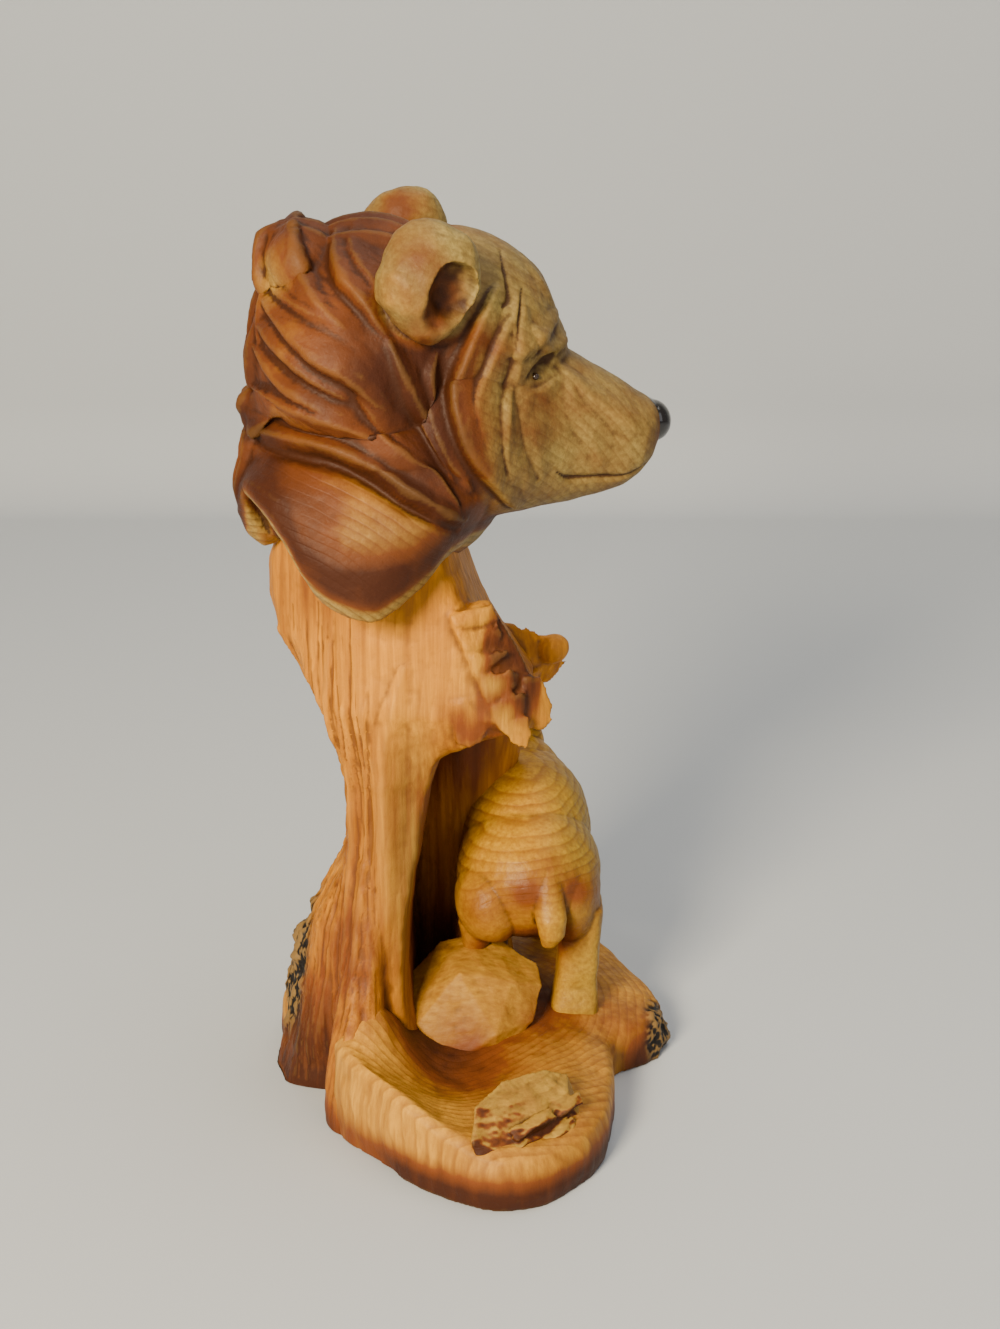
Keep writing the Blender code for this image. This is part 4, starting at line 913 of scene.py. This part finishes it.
bust = {
    # masses are drawn for a bust of this height, and a lock of height 2.6 is cut to the whole lock depth
    "cell": 0.00060, "relax": 3, "drawnHeight": 90, "headPivot": (8, 0, 50), "lockDepth": 0.0038,
    "fullLock": 2.6,
    # shoulders: height, back, front, half breadth
    "cape": [
        (9, -20, 10, 24), (4.5, -25, 17, 33), (4, -27.5, 18.5, 35), (8, -31, 21, 37.5),
        (15, -33, 24, 38.5), (22, -33, 27, 37.5), (29, -31, 27, 34), (36, -27, 24, 29)],
    # how square they are, the height up to which their edge sags and over how much it fades, then how much
    # higher or lower the edge hangs, by bearing in degrees from the front
    "capeSquareness": 2.2, "sagTop": 34, "sagOver": 30,
    "capeEdge": [
        (0, 8), (20, 9), (45, 9), (60, 5), (75, 1), (95, -1.5), (110, 3), (125, 12), (145, 16), (165, 11),
        (182, 8.5), (197, 7.5), (207, 13), (219, 20), (236, 17), (246, 11.5), (253, 4.5), (261, 0.5),
        (275, -2.3), (282, -0.5), (292, 3), (299, 5.5), (308, 8.5), (325, 9)],
    # sections of the snout: place along the head, underside, top, half width
    "snout": [
        (14, 17, 62, 27), (22, 17.5, 60, 26), (29, 18.5, 58, 23), (35, 19, 57.5, 18),
        (41, 19.5, 54.5, 14.5), (48, 21, 50.3, 12.6), (54, 23, 46.8, 11.6), (57.5, 25.5, 44.4, 10.4),
        (60.5, 29, 42.6, 8), (62.2, 33, 40.6, 5)],
    "snoutSquareness": 0.85,
    # the hollow is two balls, each by its shift from the ear's centre and its radii
    "ear": {
        "centre": (7.5, 27, 74.5), "radii": (11, 8, 13), "lean": (14, 10), "waist": 0.38, "cell": 0.0005,
        "hollow": [((5.2, 6.5, -2.6), (6.2, 6.5, 7.4)), ((1.5, 8, -6), (4, 5, 4.5))]},
    # tufts at the crown and at the second tier of coat
    "tufts": [
        [(-26.5, -6, 80.5), (-17, -13, 84), (-16, -19, 76), (-25, -11, 69), (-18, 4, 84), (-21, 6, 73)],
        [(-31.5, -6, 45), (-24, -18, 48), (-20, -23, 46), (-28, -14, 38), (-27, 6, 46), (-28, 4, 37)]],
    # cut locks of the near side, mirrored on the far one: width left and right, height, crest (x, z)
    "locks": [
        (2, 11, 2.4, [(-17.5, 84), (-16.3, 78), (-13.7, 72), (-10, 67.5), (-5.5, 63.5)]),
        (8, 1.8, 2, [(-25.5, 71), (-19.7, 68.7), (-14.8, 66.5), (-9.7, 65), (-5.3, 63)]),
        (7, 1.8, 2.2, [(-9, 85), (-8.9, 77.7), (-6.7, 72.5), (-2.9, 68.7), (1, 63.7)]),
        (6, 1.5, 1.5, [(-4, 86), (-5.8, 80.3), (-4.5, 76.3), (-1.2, 72.5), (0.7, 68)]),
        (10, 2, 2.6, [(-26, 68), (-19.4, 63), (-15.4, 60), (-11, 56.6), (-5.4, 53.5), (1, 47)]),
        (5, 1.6, 1.6, [(-27.5, 64), (-23, 60), (-18.8, 57.3), (-13, 53), (-6.8, 49.7)]),
        (3.4, 4, 2.2, [(-26.5, 57.5), (-19.7, 51.6), (-13.2, 48.6), (-7, 45.5), (0.3, 40.6), (6, 35)]),
        (2, 9, 2.8, [(-30, 48.5), (-22.3, 48.5), (-16.5, 47.6), (-4.5, 44.5), (2.8, 39.4), (11.4, 33),
         (16.5, 27)]),
        (6, 1.8, 2.4, [(-31, 38.5), (-20.3, 39), (-10.4, 38), (-2.2, 34.7), (5.3, 30), (12.6, 26),
         (18, 22.5)]),
        (5, 2.4, 1.8, [(3, 60.6), (7.8, 49), (11.4, 40), (15, 32)]),
        (6, 2, 1.8, [(-3.4, 49.8), (1.5, 42.4), (7.7, 36.8), (13.8, 31)]),
        (4, 2.4, 1.6, [(12.5, 58), (10.9, 52.7), (12, 44), (15.7, 35), (19.4, 29)]),
        (7, 2, 2.8, [(24.5, 70), (19.5, 59.7), (16.4, 51.7), (17, 44.6), (19.5, 37), (23.8, 30.5),
         (29, 22.5)]),
        (6, 2, 1.6, [(28, 64), (23.8, 55.8), (20.7, 47.5), (22.6, 38.8), (26.3, 28.6)]),
        (7, 2, 1, [(29.7, 68.6), (29.2, 62), (29.7, 55), (27.6, 47), (27, 36.4), (28.7, 27)]),
        (4, 2, 1.2, [(32.4, 61.5), (34.5, 58.2), (36.8, 56.4), (40.2, 57), (42, 58.2)]),
        (6, 6, 0.8, [(41.5, 50), (48, 43.2), (56, 37.4), (59.3, 34.5)])],
    # grooves of the same side: half width, depth, then (x, z)
    "grooves": [
        (2.6, 1.6, [(-28, 36.5), (-20.3, 36.2), (-10.4, 35.6), (-2.2, 33), (5.3, 28), (11.4, 24.5),
         (17, 20.4)]),
        (1.6, 1.8, [(-30, 27), (-27.5, 21), (-25.5, 15)])],
    # cuts and folds of the face: width left and right of the line, height (negative cuts in), line (x, z)
    "folds": [
        (1.3, 1.3, -1.1, [(60, 29), (55, 26.5), (49, 26.8), (42, 27.4), (39, 29.4)]),
        (2.6, 2.2, -1.5, [(38.5, 55.5), (35.5, 53.6), (32.3, 51.6)]),
        (1.8, 5, 1.3, [(40, 64), (38, 61.8), (34.2, 58.4), (30.4, 57), (27, 58)]),
        (3, 1.2, 0.7, [(38.5, 50), (35.5, 48.2), (32, 48.2)]),
        (5, 3.2, 0.9, [(39, 52.8), (45.5, 45.6), (53.2, 40.2), (57, 37)]),
        (5, 3.2, 1.1, [(41.2, 50.6), (42.8, 43.4), (46.7, 36.8), (49, 29.7)]),
        (3.4, 3.4, -1, [(29.3, 50.6), (30.7, 44.1), (32.2, 36.4), (34.8, 28.6)]),
        (1.2, 1.2, -1, [(25.5, 79.3), (28, 69.2), (26.6, 66.7)]),
        (1, 1, -0.9, [(30.8, 70.3), (30.6, 65), (29.4, 57)]),
        (5, 3, 0.7, [(28, 79), (34, 71.5), (39, 63)])],
    # guessed locks down the nape: bearings, tiers (foot, top, sweep), widths; then those over the crown
    "nape": {
        "locks": 4, "bearings": (160, 200), "tiers": [(56, 82, 0.30), (36, 62, -0.26), (22, 42, 0.20)],
        "widths": (6, 2.6), "depth": 0.6, "crownWidth": 3.6, "crownDepth": 0.5},
    # fine hair in metres
    "hair": {
        "seedGap": 0.0044, "length": 0.020, "step": 0.0018, "half": 0.0007, "height": -0.00020,
        "reach": 0.007, "seed": 11},
    "rough": (0.006, 0.00018), "earRough": (0.009, 0.0009), "stainAndShade": 0.78,
    # stain sprayed on the coat, with painted shade under the ears and down the neck and a painted highlight
    # on the crown tuft
    "sprayed": [
        ((-34, -10, 205), 16, 0.12), ((-30, 10, 206), 16, 0.2), ((-4, -26, 206), 13, 0.12),
        ((-38, 0, 165), 22, 0.12), ((-46, -8, 142), 9, 0.45), ((-20, -30, 150), 8, 0.15),
        ((-30, -26, 187), 9, -0.30), ((-40, -22, 178), 8, -0.34), ((-38, -26, 163), 8, -0.42),
        ((-25, -32, 158), 9, -0.36), ((-16, -32, 166), 7, -0.22), ((-8, -28, 182), 9, 0.20),
        ((-10, -31, 174), 9, 0.35), ((-3, -33, 164), 8, 0.35), ((-40, -15, 197), 8, -0.75),
        ((-24, -28, 198), 6, -0.25), ((18, -20, 168), 7, 0.45), ((24, -8, 184), 6, 0.1),
        ((10, -20, 195), 14, -0.15), ((44, 6, 160), 5, 0.5), ((6, -26, 186), 6, 0.3),
        ((20, -18, 178), 4, 0.35), ((12, -24, 181), 5, 0.2), ((30, -14, 152), 6, 0.15)],
    "capeStain": 0.52,
    "capeSprayed": [
        ((-46, -18, 148), 13, 0.40), ((-42, -24, 138), 9, 0.35), ((-34, -34, 132), 9, 0.40),
        ((-22, -38, 127), 12, 0.75), ((-12, -38, 130), 8, 0.55), ((-2, -34, 133), 8, 0.40),
        ((-30, -34, 151), 6, 0.2), ((-6, -34, 143), 13, -0.24), ((-22, -36, 147), 11, -0.22),
        ((6, -28, 138), 6, 0.2)],
    "capeLight": ((-12, -36, 144), (20, 16, 8)), "tuftHighlight": ((-40, -15, 198), 8), "wood": "motherWood",
    "pith": ((-51, 0, 92), (0.05, 1, 0)),
    "look": {
        "ringGap": 1.9, "bend": 3.5, "ringForce": 1, "patch": 0.75, "light": (0.56, 0.29, 0.028),
        "pale": (0.41, 0.31, 0.095), "paleLine": (0.14, 0.085, 0.020), "stainAndShade": (0.155, 0.046, 0.009)},
}


def bustFrame():
    return place(statue["seatX"], 0, statue["trunkHeight"], statue["bustHeight"] / bust["drawnHeight"])


def headFrame():
    x, y, z = bust["headPivot"]
    turn = turned("Z", statue["headTurn"]) @ turned("X", statue["headTilt"])
    return bustFrame() @ place(x, y, z, 1) @ turn @ place(-x, -y, -z, 1)


def capeMass(by):
    # Each ring is a squared-off oval about its own middle, and sags with the edge's heights.
    t = wholeTurn(96)
    rings = []
    for height, back, front, half in bust["cape"]:
        middle, reach = (front + back) / 2, (front - back) / 2
        radius = roundedReach(t, reach, half, bust["capeSquareness"])
        sag = around(bust["capeEdge"], t) * max(0, (bust["sagTop"] - height) / bust["sagOver"])
        rings.append(np.column_stack([middle + np.cos(t) * radius, np.sin(t) * radius, height + sag]))
    return loft(moved(rings, by))


def snoutMass(by):
    # Upright rings along the head, squared off like a limb's.
    t = wholeTurn(48)
    y, z = (signedPower(wave, bust["snoutSquareness"]) for wave in (np.cos(t), np.sin(t)))
    rings = [np.column_stack([np.full(len(t), along), half * y, (high + low) / 2 + (high - low) / 2 * z])
             for along, low, high, half in bust["snout"]]
    return loft(moved(rings, by))


def makeEar(side):
    # A ball drawn in towards its foot, with the hollow cut out of it: points and faces.
    by, ear = headFrame(), bust["ear"]
    x, y, z = ear["centre"]
    tilt = (side * ear["lean"][0], ear["lean"][1], 0)
    points, faces = ball((x, side * y, z), ear["radii"], by, tilt)
    middle = moved([(x, side * y, z)], by)[0]
    low = np.clip((middle[2] - points[:, 2]) / (ear["radii"][2] * mm), 0, 1)
    points[:, :2] += (middle[:2] - points[:, :2]) * (ear["waist"] * low ** 1.5)[:, None]
    outer = meshObject("earOuter", [(points, faces)])
    masses = [ball((x + dx, side * (y + dy), z + dz), radii, by, tilt)
              for (dx, dy, dz), radii in ear["hollow"]]
    inner = applied(remeshed(meshObject("earInner", masses), ear["cell"]))
    cut = outer.modifiers.new("hollow", "BOOLEAN")
    cut.operation, cut.solver, cut.object = "DIFFERENCE", "EXACT", inner
    applied(outer)
    part = (pointsOf(outer.data), [list(p.vertices) for p in outer.data.polygons])
    bpy.data.objects.remove(inner)
    bpy.data.objects.remove(outer)
    return part


def bustMasses():
    base, head = bustFrame(), headFrame()
    masses = [ball((-1, 0, 30), (30, 31, 26), base), ball((-3, 0, 54), (26, 31, 29), base),
              ball((-16.5, -5, 75), (9, 14, 8), base, (0, 20, 0)), capeMass(base),
              ball((13.8, 0, 57), (25.5, 25, 25), head), snoutMass(head),
              ball((28.5, 0, 56.5), (13, 16, 11.5), head, (0, 28, 0))]
    masses += [rock(corners, base) for corners in bust["tufts"]]
    masses += [ball((15, side * 14, 40), (15, 14.5, 20), head) for side in (-1, 1)]
    return masses + [makeEar(-1), makeEar(1)]


def offEars(points):
    # 0 within an ear and 1 away from it, with the distance measured in the ear's radii.
    local = within(points, headFrame())
    local[:, 1] = np.abs(local[:, 1])
    away = np.linalg.norm((local - bust["ear"]["centre"]) / bust["ear"]["radii"], axis=1)
    return np.clip((away - 1.02) / 0.15, 0, 1)


def sideStrand(tree, path, by, side, left, right, height):
    # A strand along a path (x, z) laid on one side, mirrored on the far one.
    line = skinLine(tree, moved([(x, 0, z) for x, z in path], by), (0, -side, 0))
    if side > 0:
        left, right = right, left
    return line, left * mm, right * mm, height


def napeStrands(tree):
    # Tiers of locks that sweep to either side of the back, and locks that run over the crown.
    base, depth, nape = bustFrame(), bust["lockDepth"], bust["nape"]
    middle = moved([(-2, 0, 0)], base)[0]
    t = np.linspace(0, 1, 12)
    first, last = nape["bearings"]
    strands = []
    for i in range(nape["locks"]):
        bearing = math.radians(first + (last - first) * i / (nape["locks"] - 1))
        mirrored = 1 if i < nape["locks"] / 2 else -1
        left, right = nape["widths"][::mirrored]
        for low, high, sweep in nape["tiers"]:
            heights = (high + (low - high) * t + 3 * (i % 2)) * statue["bustHeight"] / bust["drawnHeight"]
            bearings = bearing - mirrored * sweep * (t - 0.5) + 0.05 * (high - 60) / 20
            line = inwardLine(tree, middle, bearings, statue["trunkHeight"] + heights)
            strands.append((line, left * mm, right * mm, depth * nape["depth"]))
    half = nape["crownWidth"] * mm
    for i in range(-2, 3):
        path = moved([(14, 6.5 * i, 0), (0, 7 * i + 1.5, 0), (-20, 6 * i, 0)], base)
        strands.append((skinLine(tree, path, (0, 0, -1), 0.3), half, half, depth * nape["crownDepth"]))
    return strands


def bustStrands(tree):
    # All locks and grooves of the coat, and the lines of the locks as guides for the hair.
    base, unit = bustFrame(), bust["lockDepth"] / bust["fullLock"]
    locks, grooves = [], []
    for side in (-1, 1):
        locks += [sideStrand(tree, path, base, side, left, right, height * unit)
                  for left, right, height, path in bust["locks"]]
        grooves += [sideStrand(tree, path, base, side, half, half, -cut * unit)
                    for half, cut, path in bust["grooves"]]
    return locks + grooves + napeStrands(tree), [lock[0] for lock in locks]


def capeRise(points):
    # Height in millimetres above the edge of the cape at the same bearing.
    local = within(points, bustFrame())
    bearing = np.arctan2(local[:, 1], local[:, 0] + 4.5)
    return local[:, 2] - 4 - around(bust["capeEdge"], bearing)


def capeSeam(points):
    # Height in millimetres above the groove that parts the cape from the coat.
    local = within(points, bustFrame())
    x, z = np.array(bust["grooves"][0][2]).T
    return local[:, 2] - np.interp(local[:, 0], x, z)


def onCoat(points):
    # Above the cape's seam and behind the cheeks.
    local = points / mm - (statue["seatX"] / mm, 0, statue["trunkHeight"] / mm)
    seam = 36.5 - 14 * smoothStep(local[:, 0], -12, 18)
    return (local[:, 2] > seam) & (local[:, 0] < 12 + 0.12 * local[:, 2])


def paintBust(made, points, ears):
    # Dark coat and cape with painted shade along the cape's seam and in the ears' hollows, pale face, ears
    # and rim, and a painted highlight on the tuft.
    head = headFrame()
    x, _, z = within(points, head).T
    face = smoothStep(x + 0.12 * (z - 40), 9, 25)
    seam, rise = capeSeam(points), capeRise(points)
    onCape = smoothStep(seam, 0.5, -1.5)
    rim = np.exp(-((rise - 1.9) / 2.2) ** 2) * onCape
    stainAndShade = airbrush(points, bust["stainAndShade"], bust["sprayed"])
    # painted shade just above the groove that parts the cape from the coat
    stainAndShade = stainAndShade + 0.30 * np.exp(-((seam - 2.5) / 3) ** 2) * (1 - face)
    cape = airbrush(points, bust["capeStain"], bust["capeSprayed"])
    cape = np.clip(cape + 0.48 * np.exp(-((rise - 7) / 6) ** 2), 0, 1)
    stainAndShade = stainAndShade + (cape - stainAndShade) * onCape
    stainAndShade = stainAndShade - 0.60 * face * (1 - onCape) - 1.1 * rim - 0.55 * ears
    for side in (-1, 1):
        x, y, z = bust["ear"]["centre"]
        hollow = moved([(x + 4, side * (y + 3), z - 2)], head)[0]
        # reddish stain and painted shade in each ear's hollow
        stainAndShade = stainAndShade + 0.8 * ears * bell(points, hollow / mm, 5.5)
    light, litTuft = bell(points, *bust["capeLight"]), bell(points, *bust["tuftHighlight"])
    pale = np.clip(face + 1 - offEars(points), 0, 1)
    # painted highlight on the crown tuft's lit facet
    pale = np.clip(pale + 0.75 * rim + 0.6 * onCape * light + 0.6 * litTuft, 0, 1)
    return dressed(made, bust, stainAndShade, np.clip(0.15 + 0.45 * face + onCape, 0, 1), pale)


def makeBust():
    made = fused("motherBust", bustMasses(), bust)
    strands, guides = bustStrands(skinTree(made))
    carve(made, strands, offEars)
    soften(made)
    carve(made, flowStrands(made, guides, onCoat, **bust["hair"]), offEars)
    tree, head = skinTree(made), headFrame()
    carve(made, [sideStrand(tree, path, head, side, left, right, height * mm)
                 for side in (-1, 1) for left, right, height, path in bust["folds"]])
    soften(made)
    ears = 1 - offEars(pointsOf(made.data))
    roughen(made, *bust["earRough"], ears)
    return paintBust(made, weathered(made, bust), ears)


nose = {"cell": 0.0003, "relax": 3, "look": ((0.008, 0.007, 0.007), 0.16, 0.6),
        # balls (middle, radii, tilt), then the nostril on one side and its half width and depth in metres
        "balls": [((61.3, 0, 37.3), (4.3, 4.8, 4.8), (0, -10, 0)), ((60, 0, 40.6), (3.2, 4, 2), (0, 30, 0))],
        "nostril": [(66.5, 1.8, 36.6), (66.2, 3.2, 37.2), (65, 4.3, 38.2)], "cut": (0.0011, 0.0012)}


def makeNose():
    by = headFrame()
    made = fused("motherNose", [ball(middle, radii, by, tilt) for middle, radii, tilt in nose["balls"]], nose)
    half, depth = nose["cut"]
    lines = [spline(moved([(x, side * y, z) for x, y, z in nose["nostril"]], by)) for side in (-1, 1)]
    carve(made, [(line, half, half, -depth) for line in lines])
    return finished(made, plainMaterial("noseBlack", *nose["look"]))


eyes = {"radii": (0.9, 0.9, 0.8), "at": (33.8, 51.2), "sunk": 0.2, "look": ((0.022, 0.010, 0.005), 0.2, 0.3)}


def makeEyes(skin):
    # Small balls on the skin where a level line at (x, z) of the head meets it.
    by, (x, z) = headFrame(), eyes["at"]
    masses = []
    for side in (-1, 1):
        spot = skinLine(skin, moved([(x, 0, z), (x + 0.4, 0, z)], by), (0, -side, 0))[0]
        masses.append(ball(spot / mm + (0, side * eyes["sunk"], 0), eyes["radii"], place(0, 0, 0)))
    return finished(meshObject("motherEyes", masses), plainMaterial("eyeBlack", *eyes["look"]))


# Table, lights and camera

studio = {
    "paper": (0.48, 0.51, 0.55), "wallAt": 0.60, "bend": 0.05, "wallHeight": 2.5,
    # name, place, size, power, colour
    "lights": [("keyLight", (-0.40, -0.87, 0.55), 0.30, 26, (1, 0.85, 0.60)),
               ("fillLight", (0.8, -0.8, 0.6), 0.9, 3, (0.95, 0.95, 1)),
               ("topLight", (0.2, 0.1, 1.1), 0.8, 6, (1, 0.95, 0.85))],
    "room": (0.82, 0.79, 0.76, 1), "roomStrength": 0.25,
    "camera": (0.008, -0.450, 0.254), "pitchDown": 18.3, "lens": 55.1}


def makeTable():
    # A pale table that sweeps up into a pale wall round a quarter circle.
    wallY, bend = studio["wallAt"], studio["bend"]
    path = [(-1.5, 0), (wallY - bend, 0)]
    path += [(wallY - bend + bend * math.sin(a), bend - bend * math.cos(a))
             for a in np.linspace(0, math.pi / 2, 12)[1:]]
    path.append((wallY, studio["wallHeight"]))
    points = np.array([(x, y, z) for x in (-3, 3) for y, z in path])
    count = len(path)
    faces = [(i, i + 1, count + i + 1, count + i) for i in range(count - 1)]
    table = meshObject("paleTable", [(points, faces)])
    table.data.materials.append(plainMaterial("palePaper", studio["paper"], 0.9))
    table.data.polygons.foreach_set("use_smooth", np.ones(len(faces), bool))


def makeLights():
    for name, spot, size, power, color in studio["lights"]:
        lamp = bpy.data.lights.new(name, "AREA")
        lamp.size, lamp.energy, lamp.color = size, power, color
        held = added(name, lamp)
        held.location = spot
        held.rotation_euler = (Vector((0, 0, 0.1)) - Vector(spot)).to_track_quat("-Z", "Y").to_euler()
    world = bpy.data.worlds.new("softRoom")
    world.use_nodes = True
    background = world.node_tree.nodes["Background"].inputs
    background["Color"].default_value = studio["room"]
    background["Strength"].default_value = studio["roomStrength"]
    bpy.context.scene.world = world


def makeCamera():
    lens = bpy.data.cameras.new("photoCamera")
    lens.sensor_width, lens.lens, lens.clip_start = 36, studio["lens"], 0.01
    camera = added("photoCamera", lens)
    camera.location = studio["camera"]
    camera.rotation_euler = (math.radians(90 - studio["pitchDown"]), 0, 0)
    bpy.context.scene.camera = camera


print("trunk and plinth")
makeTrunk()
makePlinth()
print("cub, boulder and knot")
makeCub()
makeBoulder()
makeKnot()
print("mother")
bear = makeBust()
makeNose()
makeEyes(skinTree(bear))
print("table, lights and camera")
makeTable()
makeLights()
makeCamera()
